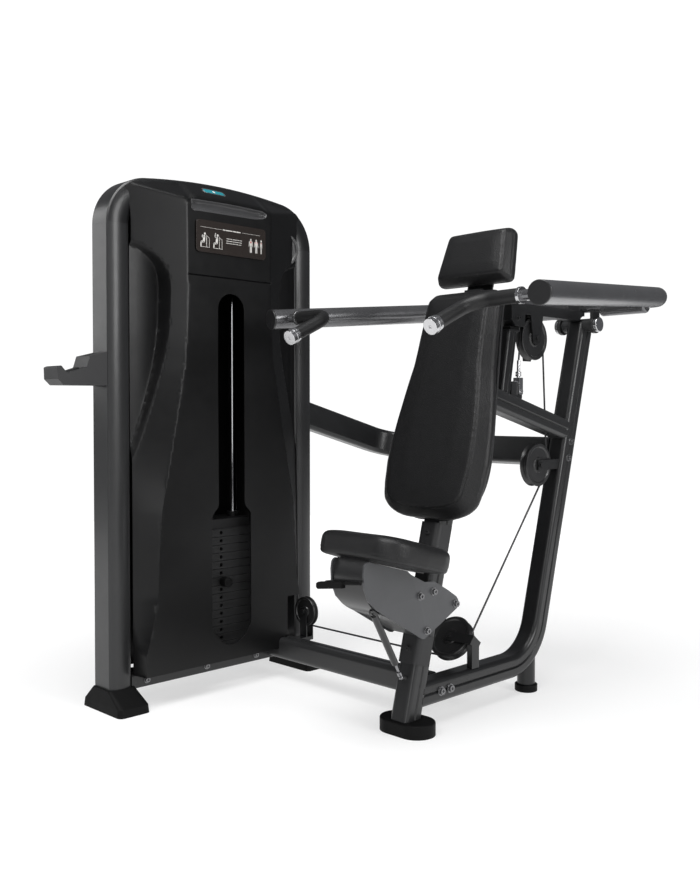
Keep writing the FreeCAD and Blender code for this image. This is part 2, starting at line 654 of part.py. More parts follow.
def weight_plate(z):
    """Plate with chamfered rims, bored for the rods and stem, drilled for the pin."""
    px, py, pz = PLATE
    plate = box(STACK_X - px / 2, STACK_X + px / 2, STACK_Y - py / 2, STACK_Y + py / 2, z, z + pz)
    plate = plate.makeChamfer(1.6, [e for e in plate.Edges if e.BoundBox.ZMax - e.BoundBox.ZMin < 1])
    for s in (-1, 1):
        plate = plate.cut(rod(ROD_R + 1.5, V(STACK_X, STACK_Y + s * ROD_GAP / 2, z - 5), Z, 40))
    plate = plate.cut(rod(14.5, V(STACK_X, STACK_Y, z - 5), Z, 40))
    return plate.cut(rod(5.5, V(STACK_X + 10, STACK_Y, z + pz / 2), X, 100))


def plates(first, count, lift=0.0):
    return group([weight_plate(STACK_BASE_Z + PLATE[2] * i + lift) for i in range(first, first + count)])


PIN_Z = STACK_BASE_Z + PLATE[2] * (PLATES_BELOW + 0.5) + BODY_GAP
HEAD_Z = STACK_BASE_Z + PLATE[2] * (PLATES_BELOW + PLATES_ABOVE) + BODY_GAP


def selector_stem():
    """Head plate, guide bushes and the drilled stem that hangs through the plates."""
    head = box(STACK_X - 50, STACK_X + 50, STACK_Y - 112, STACK_Y + 112, HEAD_Z, HEAD_Z + 30)
    head = head.makeChamfer(2.0, [e for e in head.Edges if e.BoundBox.ZMin > HEAD_Z + 29])
    out = head.fuse(rod(12.0, V(STACK_X, STACK_Y, STACK_BASE_Z + 8), Z, STEM_TOP - STACK_BASE_Z - 8))
    for s in (-1, 1):
        c = V(STACK_X, STACK_Y + s * ROD_GAP / 2, HEAD_Z)
        out = out.fuse(rod(19.0, c, Z, 44)).cut(rod(ROD_R + 0.06, c - Z * 5, Z, 60))
    for i in range(PLATES_BELOW + PLATES_ABOVE):
        z = STACK_BASE_Z + PLATE[2] * (i + 0.5) + BODY_GAP
        out = out.cut(rod(5.5, V(STACK_X - 30, STACK_Y, z), X, 60))
    return out.removeSplitter()


def selector_pin():
    shaft = rod(5.4, V(STACK_X - 13, STACK_Y, PIN_Z), X, 83)
    knob = rod(15.0, V(STACK_X + 62, STACK_Y, PIN_Z), X, 30)
    knob = round_edges(knob, 4.0)
    return knob.fuse(shaft).removeSplitter()


def rubber_bumpers():
    """Stops: two under the stack, one under the press arm; and the cable's guide bush."""
    out = []
    for s in (-1, 1):
        c = V(STACK_X, STACK_Y + s * ROD_GAP / 2, 91)
        out.append(ring(22.0, ROD_R, c, Z, STACK_BASE_Z - 91))
    out.append(round_edges(box(-20, 20, 618, 660, 1071, REST_Z - BODY_GAP), 3.0,
                           lambda e: e.BoundBox.ZMin > REST_Z - 1))
    low = REAR_TOP + REAR_DIR * ((REAR_TOP.z - 800.0) / -REAR_DIR.z)
    bush = Part.makeCylinder(13.0, 26.0, low, REAR_DIR).cut(Part.makeCylinder(5.0, 40.0, low, REAR_DIR))
    return group(out + [bush])


# ---- press arm ---------------------------------------------------------------------------
def arm_path(lead=0.0):
    fx, fy, fz = ARM_FRONT
    rx, ry, rz = ARM_REAR
    d = (V(fx, fy, fz) - V(rx, ry, rz)).normalize() * lead
    points = [V(fx, fy, fz) + d, (rx, ry, rz), (-rx, ry, rz), V(-fx, fy, fz) + V(-d.x, d.y, d.z)]
    return path_with_arcs([tuple(p) for p in points], [ARM_BEND_R, ARM_BEND_R])


def grip_path(side):
    pts = [GRIP_ROOT, GRIP_KNEE, GRIP_TIP]
    return path_with_arcs([(side * x, y, z) for x, y, z in pts], [GRIP_BEND_R])


def press_arm_tube():
    arm = round_tube(arm_path(), ARM_R, ARM_WALL)
    solid = pipe(arm_path(), ARM_R)
    for s in (-1, 1):
        rib = rod(22.0, V(min(s * 82, s * 236), ARM_REAR[1] - 2, ARM_REAR[2] - 21), X, 154)
        arm = arm.fuse(round_edges(rib, 8.0).cut(solid))
    return arm.removeSplitter()


def arm_end_caps():
    out = []
    fx, fy, fz = ARM_FRONT
    rx, ry, rz = ARM_REAR
    for s in (-1, 1):
        d = V(s * (fx - rx), fy - ry, fz - rz).normalize()
        p = V(s * fx, fy, fz)
        cap = Part.makeCylinder(ARM_R, 5.0, p, d)
        cap = round_edges(cap, 1.8, lambda e: (e.CenterOfMass - p).dot(d) > 4.0)
        plug = Part.makeCylinder(ARM_R - ARM_WALL, 16.0, p - d * 16.0, d)
        out.append(cap.fuse(plug).removeSplitter())
    return group(out)


def arm_lugs():
    """Two plates that hang the crossbar on the axle."""
    out = []
    for s in (-1, 1):
        x0 = min(s * 53.0, s * 63.0)
        eye = rod(27.0, V(x0, AXLE_Y, AXLE_Z), X, 10)
        web = box(x0, x0 + 10, AXLE_Y - 20, AXLE_Y + 20, AXLE_Z, ARM_REAR[2])
        lug = eye.fuse(web).cut(pipe(arm_path(), ARM_R)).cut(rod(AXLE_R, V(x0 - 5, AXLE_Y, AXLE_Z), X, 20))
        out.append(largest(lug))
    return group(out)


def axle_shaft():
    """Axle fixed in the lugs, with a bright domed disc on each end."""
    shaft = rod(AXLE_R, V(-AXLE_HALF + 4, AXLE_Y, AXLE_Z), X, 2 * AXLE_HALF - 8)
    for s in (-1, 1):
        x0 = min(s * 64.0, s * AXLE_HALF)
        disc = rod(23.0, V(x0, AXLE_Y, AXLE_Z), X, AXLE_HALF - 64.0)
        disc = round_edges(disc, 2.5, lambda e: abs(e.BoundBox.XMax) > AXLE_HALF - 1
                           or abs(e.BoundBox.XMin) > AXLE_HALF - 1)
        shaft = shaft.fuse(disc)
    return shaft.removeSplitter()


HANGER_Z = (1119.0, 1150.0)
REST_Z = 1082.0


def arm_hanger():
    """Box bar from the crossbar forward, the stop block at its end and the wheel's clevis."""
    z0, z1 = HANGER_Z
    y, z = ARM_PULLEY[1], ARM_PULLEY[2]
    beam = box(-20, 20, 680, ARM_REAR[1], z0, z1).fuse(box(-20, 20, ARM_REAR[1] - 30, ARM_REAR[1], z0, ARM_REAR[2]))
    block = prism([(618, z1), (618, 1100), (636, REST_Z), (684, REST_Z), (684, z1)], -25, 25)
    beam = beam.fuse(block).cut(rod(HOUSING_R + 8, V(-80, AXLE_Y, AXLE_Z), X, 160))
    far = prism([(y - 36, z1), (y + 36, z1), (y + 24, z - 10), (y + 20, z - 67), (y - 16, z - 67),
                 (y - 24, z - 10)], -20, -15.5)
    near = prism([(y - 36, z1), (y + 36, z1), (y + 18, z - 12), (y, z - 20), (y - 18, z - 12)], 15.5, 20)
    body = union([beam, far, near, rod(PIN_R, V(-26, y, z), X, 52), bolt_head(V(25, 648, 1106), X, r=7.0)])
    return largest(body.cut(pipe(arm_path(), ARM_R)))


def grip_bars():
    out = []
    for s in (-1, 1):
        bar = pipe(grip_path(s), 12.7)
        out.append(bar.cut(pipe(arm_path(40.0), ARM_R)))
    return group([largest(one) for one in out])


def grip_sleeves():
    out = []
    for s in (-1, 1):
        wire = grip_path(s)
        sleeve = pipe(wire, GRIP_R).cut(pipe(wire, 12.7))
        root = box(min(s * 376, s * 460), max(s * 376, s * 460), 100, 230, 1040, 1160)
        out.append(sleeve.cut(root))
    return group([largest(one) for one in out])


def grip_end_caps():
    """Bright collars: a stepped cap on each grip's tip and a ferrule at its root."""
    out = []
    for s in (-1, 1):
        tip, knee = V(s * GRIP_TIP[0], GRIP_TIP[1], GRIP_TIP[2]), V(s * GRIP_KNEE[0], GRIP_KNEE[1], GRIP_KNEE[2])
        d = (tip - knee).normalize()
        cap = Part.makeCylinder(19.5, 26.0, tip + d * 0.0, d)
        lip = Part.makeCylinder(20.5, 5.0, tip + d * 8.0, d)
        cap = round_edges(cap.fuse(lip).removeSplitter(), 1.2)
        dimple = Part.makeCylinder(4.0, 3.0, tip + d * 24.0, d)
        out.append(cap.cut(dimple))
        root = V(s * GRIP_ROOT[0], GRIP_ROOT[1], GRIP_ROOT[2])
        along = (knee - root).normalize()
        out.append(ring(20.0, 12.7, root + along * 26.5, along, 8))
    return group(out)


# ---- seat --------------------------------------------------------------------------------
SEAT_N = V(0, math.sin(math.radians(SEAT_TILT)), math.cos(math.radians(SEAT_TILT)))
SEAT_FWD = V(0, -math.cos(math.radians(SEAT_TILT)), math.sin(math.radians(SEAT_TILT)))
SEAT_ORIGIN = V(0, 105.0, 450.0)      # underside of the seat pad, mid length
SEAT_HALF_W, SEAT_HALF_L, SEAT_THICK = 147.0, 128.0, 62.0
SIDE_X = 53.0
SIDE_T = 5.0


def seat_pad():
    wires = []
    for inset, h in ((10.0, 0.0), (0.0, 14.0), (0.0, 44.0), (16.0, 62.0)):
        w = rounded_rect(2 * (SEAT_HALF_W - inset), 2 * (SEAT_HALF_L - inset), 62.0 - inset)
        w.Placement = basis(SEAT_ORIGIN + SEAT_N * h, X, SEAT_FWD * -1.0)
        wires.append(w)
    pad = union([Part.makeLoft(wires[i:i + 2], True, True) for i in range(3)])
    return pad


def seat_pan():
    """Steel pan under the pad, the curved front cover between the side plates, the strut's pin."""
    base = rounded_rect(2 * SIDE_X - 1, 210.0, 6.0)
    base.Placement = basis(SEAT_ORIGIN - SEAT_N * 5.2, X, SEAT_FWD * -1.0)
    pan = Part.Face(base).extrude(SEAT_N * 5.0)
    outline = [V(-SIDE_X, y, z) for y, z in ((0, 472), (-15, 431), (-1, 375), (87, 320), (150, 286), (192, 262))]
    curve = Part.BSplineCurve()
    curve.interpolate(outline)
    skin = curve.toShape().extrude(X * (2 * SIDE_X))
    cover = skin.makeOffsetShape(-3.0, 0.1, fill=True)
    a, b, d, length = gas_axis()
    cover = cover.cut(Part.makeCylinder(GAS_R + 0.8, 80.0, a, d)).cut(rod(9.3, a - X * 5.5, X, 11))
    tab = prism([(10, 350), (28, 334), (44, 346), (36, 366)], SIDE_X - 5, SIDE_X)
    pin = rod(4.0, V(GAS_TOP[0] - 5, GAS_TOP[1], GAS_TOP[2]), X, SIDE_X - GAS_TOP[0] + 3)
    return group([pan, largest(cover), tab.fuse(pin)])


SEAT_BOLTS = ((182, 365), (235, 370), (325, 326), (209, 272))


def seat_side_plates():
    outline = [(-10, 474), (135, 434), (148, 424), (201, 399), (239, 396), (293, 367), (329, 345), (339, 332),
               (335, 315), (272, 285), (200, 252), (190, 254), (20, 352), (-6, 376), (-21, 410), (-23, 446),
               (-20, 466)]
    out = []
    for s in (-1, 1):
        x0 = min(s * SIDE_X, s * (SIDE_X + SIDE_T))
        plate = prism(outline, x0, x0 + SIDE_T)
        plate = round_edges(plate, 12.0, lambda e: e.BoundBox.XMax - e.BoundBox.XMin > SIDE_T - 0.1)
        for y, z in SEAT_BOLTS:
            plate = plate.cut(rod(5.0, V(x0 - 5, y, z), X, 20))
        out.append(plate)
    return group(out)


def post_gap(y, z):
    """Distance from a point to the seat post's nearer broad face."""
    return abs((post_at(z).y - y) * math.cos(math.radians(POST_LEAN))) - TUBE_D / 2


def seat_rollers():
    """Through bolts and the guide rollers that run on the seat post's faces."""
    out = []
    for y, z in SEAT_BOLTS:
        for s in (-1, 1):
            out.append(bolt_head(V(s * (SIDE_X + SIDE_T), y, z), X * s, r=9.5, head=7.0))
        out.append(rod(5.0, V(-SIDE_X - SIDE_T, y, z), X, 2 * (SIDE_X + SIDE_T)))
        reach = min(post_gap(y, z) - BODY_GAP, 24.0)
        half = 24.0 if reach > 9.0 else 30.0
        out.append(ring(reach if reach < 23.0 else 9.5, 5.0, V(-half, y, z), X, 2 * half))
    out.append(rod(5.0, V(-SIDE_X - SIDE_T - 11, LEVER_PIVOT[0], LEVER_PIVOT[1]), X, 11))
    return group(out)


LEVER_PIVOT = (46.0, 402.0)
LEVER_Y = -39.0


def seat_lever():
    """Release lever: side arm on its pivot, cross rod ahead of the front cover, flat sloping grip."""
    x1 = -SIDE_X - SIDE_T - 0.4
    y, z = LEVER_PIVOT
    arm = prism([(y + 12, z - 9), (y + 12, z + 9), (LEVER_Y + 6, z + 15), (LEVER_Y - 6, z + 6), (LEVER_Y - 2, z - 4)],
                x1 - 6, x1)
    cross = rod(4.0, V(-20, LEVER_Y, z + 14), V(80, 0, 9).normalize(), 84)
    outline = [V(x, LEVER_Y - 8, z + h) for x, h in
               ((5, 5), (5, 22), (-80, 11), (-86, 7), (-86, -3), (-80, -7))]
    grip = Part.Face(Part.makePolygon(outline + [outline[0]])).extrude(Y * 16)
    grip = round_edges(grip, 2.5, lambda e: e.BoundBox.YMax - e.BoundBox.YMin < 0.1)
    return union([arm, grip, cross]).cut(rod(5.05, V(x1 - 20, y, z), X, 40))


GAS_TOP = (43.0, 24.0, 345.0)
GAS_BALL = (5.0, 170.0, 148.0)
GAS_R, GAS_ROD_R = 9.0, 3.6
GAS_BODY = 182.0


def gas_axis():
    a, b = v(GAS_TOP), v(GAS_BALL)
    return a, b, (b - a).normalize(), (b - a).Length


def gas_cylinder():
    a, b, d, length = gas_axis()
    tube = round_edges(Part.makeCylinder(GAS_R, GAS_BODY, a + d * 11, d), 2.0)
    tube = tube.cut(Part.makeCylinder(GAS_ROD_R + 0.05, GAS_BODY, a + d * 20, d))
    eye = rod(8.5, a - X * 4.5, X, 9).fuse(Part.makeCylinder(5.0, 14, a + d * 2, d))
    return largest(tube.fuse(eye).cut(rod(4.05, a - X * 10, X, 20)).removeSplitter())


def gas_rod():
    a, b, d, length = gas_axis()
    inside = 22.0
    shaft = Part.makeCylinder(GAS_ROD_R, length - inside - 12, a + d * inside, d)
    return shaft.fuse(Part.makeCylinder(6.5, 14, a + d * (length - 24), d)).removeSplitter()


# ---- pads --------------------------------------------------------------------------------
PAD_N = V(0, -math.cos(math.radians(PAD_LEAN)), math.sin(math.radians(PAD_LEAN)))
PAD_UP = lean_dir(PAD_LEAN)
PAD_BASE = V(0, 296.0, 545.0)       # on the pad's rear face, in line with its lower edge
PAD_LENGTH = 638.0


def pad_outline(inset, top_w, bottom_w, belly_w):
    """Closed wire in the local XY plane: y up the pad, wide and round below, narrow above."""
    length = PAD_LENGTH - inset
    right = [V(0, inset, 0), V(bottom_w * 0.62, inset + 9, 0), V(bottom_w - inset, 62, 0),
             V(belly_w - inset, 150, 0), V(belly_w - 14 - inset, 300, 0), V(top_w + 19 - inset, 430, 0),
             V(top_w + 3 - inset, 560, 0), V(top_w - inset, length - 26, 0)]
    curve = Part.BSplineCurve()
    curve.interpolate(right)
    left = Part.BSplineCurve()
    left.interpolate([V(-p.x, p.y, 0) for p in right])
    a, b = right[-1], V(-right[-1].x, right[-1].y, 0)
    ca, cb = V(a.x - 24, length - 2, 0), V(-a.x + 24, length - 2, 0)
    corner_a = Part.Arc(a, V(a.x - 6, length - 9, 0), ca).toShape()
    corner_b = Part.Arc(b, V(b.x + 6, length - 9, 0), cb).toShape()
    top = Part.Arc(ca, V(0, length + 4, 0), cb).toShape()
    return Part.Wire(Part.__sortEdges__([curve.toShape(), corner_a, top, corner_b, left.toShape()]))


def back_pad():
    layers = ((0.0, 6.0), (0.0, 26.0), (22.0, 58.0))
    wires = []
    for inset, h in layers:
        w = pad_outline(inset, 124.0, 152.0, 171.0)
        w.Placement = basis(PAD_BASE + PAD_N * h, X, PAD_UP)
        wires.append(w)
    low = Part.Face(wires[0]).extrude(PAD_N * 20.0)
    high = Part.makeLoft(wires[1:], True, True)
    return low.fuse(high).removeSplitter()


def back_pad_board():
    """Moulded backing board under the back pad."""
    w = pad_outline(6.0, 124.0, 152.0, 171.0)
    w.Placement = basis(PAD_BASE, X, PAD_UP)
    return Part.Face(w).extrude(PAD_N * 5.8).cut(post_outer())


HEAD_LEAN = 17.0
HEAD_N = V(0, -math.cos(math.radians(HEAD_LEAN)), math.sin(math.radians(HEAD_LEAN)))
HEAD_UP = lean_dir(HEAD_LEAN)
HEAD_BASE = V(0, 499.0, 1178.0)


def head_outline(inset):
    a, b, h = 128.0 - inset, 110.0 - inset, 158.0 - inset
    pts = [V(-a + 12, inset, 0), V(a - 12, inset, 0), V(a, inset + 14, 0), V(b, h - 16, 0), V(b - 14, h, 0),
           V(-b + 14, h, 0), V(-b, h - 16, 0), V(-a, inset + 14, 0)]
    top = Part.Arc(pts[4], V(0, h + 7, 0), pts[5]).toShape()
    edges = [Part.LineSegment(pts[i], pts[i + 1]).toShape() for i in (0, 1, 2, 3, 5, 6)]
    edges.append(Part.LineSegment(pts[7], pts[0]).toShape())
    return Part.Wire(Part.__sortEdges__(edges + [top]))


def head_pad():
    wires = []
    for inset, h in ((4.0, 6.0), (0.0, 30.0), (13.0, 64.0)):
        w = head_outline(inset)
        w.Placement = basis(HEAD_BASE + HEAD_N * h, X, HEAD_UP)
        wires.append(w)
    return union([Part.makeLoft(wires[i:i + 2], True, True) for i in (0, 1)])


def pad_brackets():
    """Straps from the post to the back pad's board, and the head pad's stand-off plate."""
    keep_out = [post_outer(), back_pad_board(), back_pad()]
    out = []
    for z in (640.0, 1040.0):
        strap = bar(Part.Face(rounded_rect(110.0, 36.0, 2.0)), post_at(z) - POST_BACK * 26.0 - POST * 22, POST, 44)
        for other in keep_out:
            strap = strap.cut(other)
        out.append(max(strap.Solids, key=lambda one: one.BoundBox.XLength))
    plate = bar(Part.Face(rounded_rect(90.0, 6.0, 2.9)), HEAD_BASE - HEAD_UP * 22 - HEAD_N * 3.1, HEAD_UP, 150.0)
    out.append(largest(plate.cut(post_outer())))
    return group(out)


# ---- wheels and cable --------------------------------------------------------------------
TILT_U = lean_dir(TILT)                                    # up the tilted wheel's plane
TILT_AXIS = V(0, -TILT_U.z, TILT_U.y)
TILT_C = v(TILTED)
IDLER_C = TILT_C + X * GROOVE_R + TILT_U * TILT_RUN + TILT_AXIS * GROOVE_R
LOW_C = TILT_C - TILT_U * GROOVE_R
LOW_C = V(LOW_X, LOW_C.y, LOW_C.z + LOW_GROOVE_R)
TOP_A = V(TOP_PULLEY_A[0], TOP_PULLEY_A[1], TOP_PULLEY_Z)
STACK_TOP = V(STACK_X, STACK_Y, TOP_PULLEY_Z)
TOP_DIR = (TOP_A - STACK_TOP).normalize()                  # level, from the stack to the far side
TOP_B = STACK_TOP + TOP_DIR * TOP_GROOVE_R
TOP_AXIS = TOP_DIR.cross(Z)
ARM_C = v(ARM_PULLEY)

GAP_DIR = (IDLER_C - ARM_C).normalize()
GAP_OUT = V(0, -GAP_DIR.z, GAP_DIR.y)                      # towards the rear
REAR_TOP = ARM_C + GAP_OUT * GROOVE_R
REAR_LOW = IDLER_C + GAP_OUT * GROOVE_R
REAR_DIR = GAP_DIR
ANCHOR = (685.0, 894.0)
TERMINAL = (687.0, 985.0)                                  # where the cable leaves its fitting
FRONT_TOUCH = tangent_point(TERMINAL, ARM_PULLEY[1:], GROOVE_R, 1)


def arc_between(centre, a, b, bulge):
    """Arc about centre from a to b, passing through the side that bulge points to."""
    r = (a - centre).Length
    return Part.Arc(a, centre + V(bulge).normalize() * r, b).toShape()


def cable(edges):
    return pipe(Part.Wire(edges), CABLE_R)


def line(a, b):
    return Part.LineSegment(a, b).toShape()


def cable_frame_run():
    """From behind the idler, round the tilted wheel, along the floor rail and over the tower."""
    leave_idler = IDLER_C - TILT_AXIS * GROOVE_R
    meet_tilt = TILT_C + X * GROOVE_R
    leave_tilt = TILT_C - TILT_U * GROOVE_R
    meet_low = V(LOW_C.x, leave_tilt.y, leave_tilt.z)
    rise = LOW_C - X * LOW_GROOVE_R
    meet_a = TOP_A + TOP_DIR * TOP_GROOVE_R
    up_a, up_b = TOP_A + Z * TOP_GROOVE_R, TOP_B + Z * TOP_GROOVE_R
    down = TOP_B - TOP_DIR * TOP_GROOVE_R
    return cable([arc_between(IDLER_C, REAR_LOW, leave_idler, GAP_OUT - TILT_AXIS),
                  line(leave_idler, meet_tilt),
                  arc_between(TILT_C, meet_tilt, leave_tilt, X - TILT_U),
                  line(leave_tilt, meet_low),
                  arc_between(LOW_C, meet_low, rise, X * -1.0 - Z)]), cable(
                 [line(rise, meet_a),
                  arc_between(TOP_A, meet_a, up_a, TOP_DIR + Z),
                  line(up_a, up_b),
                  arc_between(TOP_B, up_b, down, Z - TOP_DIR)])


def anchor_span():
    """The cable between its fitting and the arm wheel, stopped short of the wheel's swept groove."""
    low = V(0, TERMINAL[0], TERMINAL[1])
    return line(low, low + (V(0, *FRONT_TOUCH) - low) * 0.72)


def cable_terminal():
    """Threaded end fitting, forked over the anchor lug, with its lock nuts."""
    y, z = ANCHOR
    eye = union([box(-11, -6.5, y - 9, y + 9, z - 9, z + 32), box(6.5, 11, y - 9, y + 9, z - 9, z + 32),
                 box(-11, 11, y - 9, y + 9, z + 30, z + 40), rod(4.6, V(-15, y, z), X, 30)])
    base = V(0, y + 0.6, z + 38)
    d = (V(0, TERMINAL[0], TERMINAL[1]) - base).normalize()
    screw = Part.makeCylinder(5.0, (V(0, TERMINAL[0], TERMINAL[1]) - base).Length, base, d)
    nuts = [Part.makeCylinder(8.5, 6.0, base + d * t, d) for t in (6.0, 13.5)]
    return union([eye, screw] + nuts)


def cable_arm_wrap():
    touch = V(0, FRONT_TOUCH[0], FRONT_TOUCH[1])
    return cable([arc_between(ARM_C, touch, REAR_TOP, Z)])


def frame_wheel(c, axis, plate_gap, out_dir, reach, w=30.0, t=4.5, pin=PIN_R):
    """Two fork plates either side of a wheel, from its pin towards out_dir, and the pin."""
    pieces = []
    for s in (-1, 1):
        lo = plate_gap if s > 0 else -plate_gap - t
        o = c + axis * lo
        side = out_dir.cross(axis)
        face = Part.Face(Part.makePolygon([o - out_dir * 12 - side * (w / 2), o + out_dir * reach - side * (w / 2),
                                           o + out_dir * reach + side * (w / 2), o - out_dir * 12 + side * (w / 2),
                                           o - out_dir * 12 - side * (w / 2)]))
        pieces.append(face.extrude(axis * t))
    half = plate_gap + t + 6
    pieces.append(Part.makeCylinder(pin, 2 * half, c - axis * half, axis))
    return pieces


def pulley_brackets():
    """Forks for the idler, the tilted wheel, the low tower wheel and the two under the arch."""
    idler = union(frame_wheel(IDLER_C, X, 15.0, Y, 110.0)).cut(main_outer())
    idler = min(idler.Solids, key=lambda one: one.BoundBox.YMin)
    tilt = frame_wheel(TILT_C, TILT_AXIS, 15.0, X, 84.0, w=28.0)
    web = []
    for y0, y1, z0, z1 in ((-19.5, 19.5, -14, 14),):
        base = TILT_C + X * 67.0 + TILT_AXIS * y0
        web.append(bar(Part.Face(rounded_rect(17.0, 28.0, 1.0)), base + X * 8.5, TILT_AXIS, y1 - y0))
    foot = box(9.5, 27, TILT_C.y - 16, TILT_C.y + 16, RAIL_Z + TUBE_D / 2 - 1, TILT_C.z - 2)
    tilt = union(tilt + web + [foot]).cut(main_outer())
    low = frame_wheel(LOW_C, Y, 11.0, Z * -1.0, 88.0, w=30.0, t=4.0)
    low.append(box(LOW_X - 15, LOW_X + 15, 353.5, LOW_C.y + 15, 100, 112))
    top = frame_wheel(TOP_A, TOP_AXIS, 9.0, Z, 72.0, w=30.0, t=4.0, pin=6.0)
    top += frame_wheel(TOP_B, TOP_AXIS, 9.0, Z, 95.0, w=30.0, t=4.0, pin=6.0)
    arch_solid = arch_fill(-800.0, -640.0, 1100.0)
    top = union(top).common(arch_solid).cut(top_cover())
    forks = [one for one in top.Solids if one.Volume > 500.0]
    return group([idler, largest(tilt), union(low)] + forks)


def frame_bolts():
    """Bolt heads on the frame, and the ball stud that the seat's gas spring presses on."""
    out = [bolt_head(V(TUBE_W / 2, y, RAIL_Z), X, r=11.0, head=7.0) for y in (300.0, 338.0)]
    for z in (692.0, 742.0):
        out.append(bolt_head(upright_at(z) + V(TUBE_W / 2, 0, 0), X, r=10.0, head=7.0))
    for y in (-150.0, 60.0, 250.0):
        out.append(bolt_head(V(-684, y, 70), X, r=9.0, head=6.0))
    ball = v(GAS_BALL)
    stud = Part.makeCylinder(4.0, 30.0, ball, POST_BACK).cut(post_outer())
    out.append(Part.makeSphere(6.5, ball).fuse(min(stud.Solids, key=lambda one: one.BoundBox.YMin)))
    return group(out)


def build():
    """All nodes, keyed by name, still in the modelling frame."""
    nodes = {}
    post = post_outer()
    stub, shoe = rear_foot()
    housing = rod(HOUSING_R, V(-80, AXLE_Y, AXLE_Z), X, 160)
    nodes["seat_post"] = seat_post()
    nodes["main_tube"] = largest(main_tube().cut(post).cut(housing)).fuse(stub)
    nodes["inclined_beam"] = inclined_beam()
    nodes["cross_rail"] = cross_rail()
    nodes["upper_cross_tube"] = upper_cross_tube()
    nodes["axle_housing"] = axle_housing()
    nodes["bumper_post"] = bumper_post()
    nodes["rear_foot_shoe"] = shoe
    nodes["seat_post_foot"] = seat_post_foot()
    nodes["post_collars"] = post_collars()
    nodes["tower_posts"] = tower_posts()
    nodes["tower_arch"] = tower_arch()
    nodes["tower_feet"] = tower_feet()
    nodes["tower_rails"] = tower_rails()
    nodes["shroud_front"] = shroud_front()
    nodes["shroud_back"] = shroud_back()
    nodes["top_cover"] = top_cover()
    nodes["top_tray"] = top_tray()
    nodes["placard"] = placard()
    nodes["accessory_holder"] = accessory_holder()
    nodes["guide_rods"] = guide_rods()
    nodes["weight_plates_resting"] = plates(0, PLATES_BELOW)
    nodes["weight_plates_lifted"] = plates(PLATES_BELOW, PLATES_ABOVE, BODY_GAP)
    nodes["selector_stem"] = selector_stem()
    nodes["selector_pin"] = selector_pin()
    nodes["rubber_bumpers"] = rubber_bumpers()
    nodes["frame_bolts"] = frame_bolts()
    nodes["pulley_brackets"] = pulley_brackets()
    nodes["cable_terminal"] = cable_terminal()
    nodes["press_arm_tube"] = press_arm_tube()
    nodes["arm_end_caps"] = arm_end_caps()
    nodes["arm_lugs"] = arm_lugs()
    nodes["axle_shaft"] = axle_shaft()
    nodes["arm_hanger"] = arm_hanger()
    nodes["grip_bars"] = grip_bars()
    nodes["grip_sleeves"] = grip_sleeves()
    nodes["grip_end_caps"] = grip_end_caps()
    nodes["seat_pad"] = seat_pad()
    nodes["seat_pan"] = seat_pan()
    nodes["seat_side_plates"] = seat_side_plates()
    nodes["seat_rollers"] = seat_rollers()
    nodes["seat_lever"] = seat_lever()
    nodes["gas_cylinder"] = gas_cylinder()
    nodes["gas_rod"] = gas_rod()
    nodes["back_pad"] = back_pad()
    nodes["back_pad_board"] = back_pad_board()
    nodes["head_pad"] = head_pad()
    nodes["pad_brackets"] = pad_brackets()
    nodes["arm_pulley"] = pulley(ARM_C, X, PULLEY_R, GROOVE_R, PULLEY_W, PIN_R + 0.05)
    nodes["idler_pulley"] = pulley(IDLER_C, X, PULLEY_R, GROOVE_R, PULLEY_W, PIN_R + 0.05)
    nodes["tilted_pulley"] = pulley(TILT_C, TILT_AXIS, PULLEY_R, GROOVE_R, PULLEY_W, PIN_R + 0.05)
    nodes["tower_low_pulley"] = pulley(LOW_C, Y, LOW_R, LOW_GROOVE_R, LOW_W, PIN_R + 0.05)
    nodes["tower_top_pulley_a"] = pulley(TOP_A, TOP_AXIS, TOP_R, TOP_GROOVE_R, TOP_W, 6.05)
    nodes["tower_top_pulley_b"] = pulley(TOP_B, TOP_AXIS, TOP_R, TOP_GROOVE_R, TOP_W, 6.05)
    nodes["cable_floor_run"], nodes["cable_tower_run"] = cable_frame_run()
    nodes["cable_arm_wrap"] = cable_arm_wrap()
    nodes["cable_anchor_span"] = cable([anchor_span()])
    nodes["cable_rear_span"] = cable([line(REAR_TOP, REAR_LOW)])
    nodes["cable_stack_span"] = cable([line(V(STACK_X, STACK_Y, STEM_TOP), STACK_TOP)])
    return nodes


def publish(nodes):
    """Move the origin to the middle of the footprint and write one STEP per node."""
    whole = [n.optimalBoundingBox(True, False) for n in nodes.values()]
    x0, x1 = min(b.XMin for b in whole), max(b.XMax for b in whole)
    y0, y1 = min(b.YMin for b in whole), max(b.YMax for b in whole)
    z0, z1 = min(b.ZMin for b in whole), max(b.ZMax for b in whole)
    shift = V(-(x0 + x1) / 2, -(y0 + y1) / 2, -z0)
    os.makedirs("parts", exist_ok=True)
    for name, shape in nodes.items():
        moved = shape.copy()
        moved.translate(shift)
        moved.exportStep("parts/" + name + ".step")
    print("origin shift", [round(c, 3) for c in shift], "size", [round(c, 2) for c in (x1 - x0, y1 - y0, z1 - z0)])
    return shift


if __name__ == "__main__":
    publish(build())
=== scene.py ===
import json
import math

import bpy
import numpy as np
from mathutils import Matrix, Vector
from mathutils.geometry import delaunay_2d_cdt


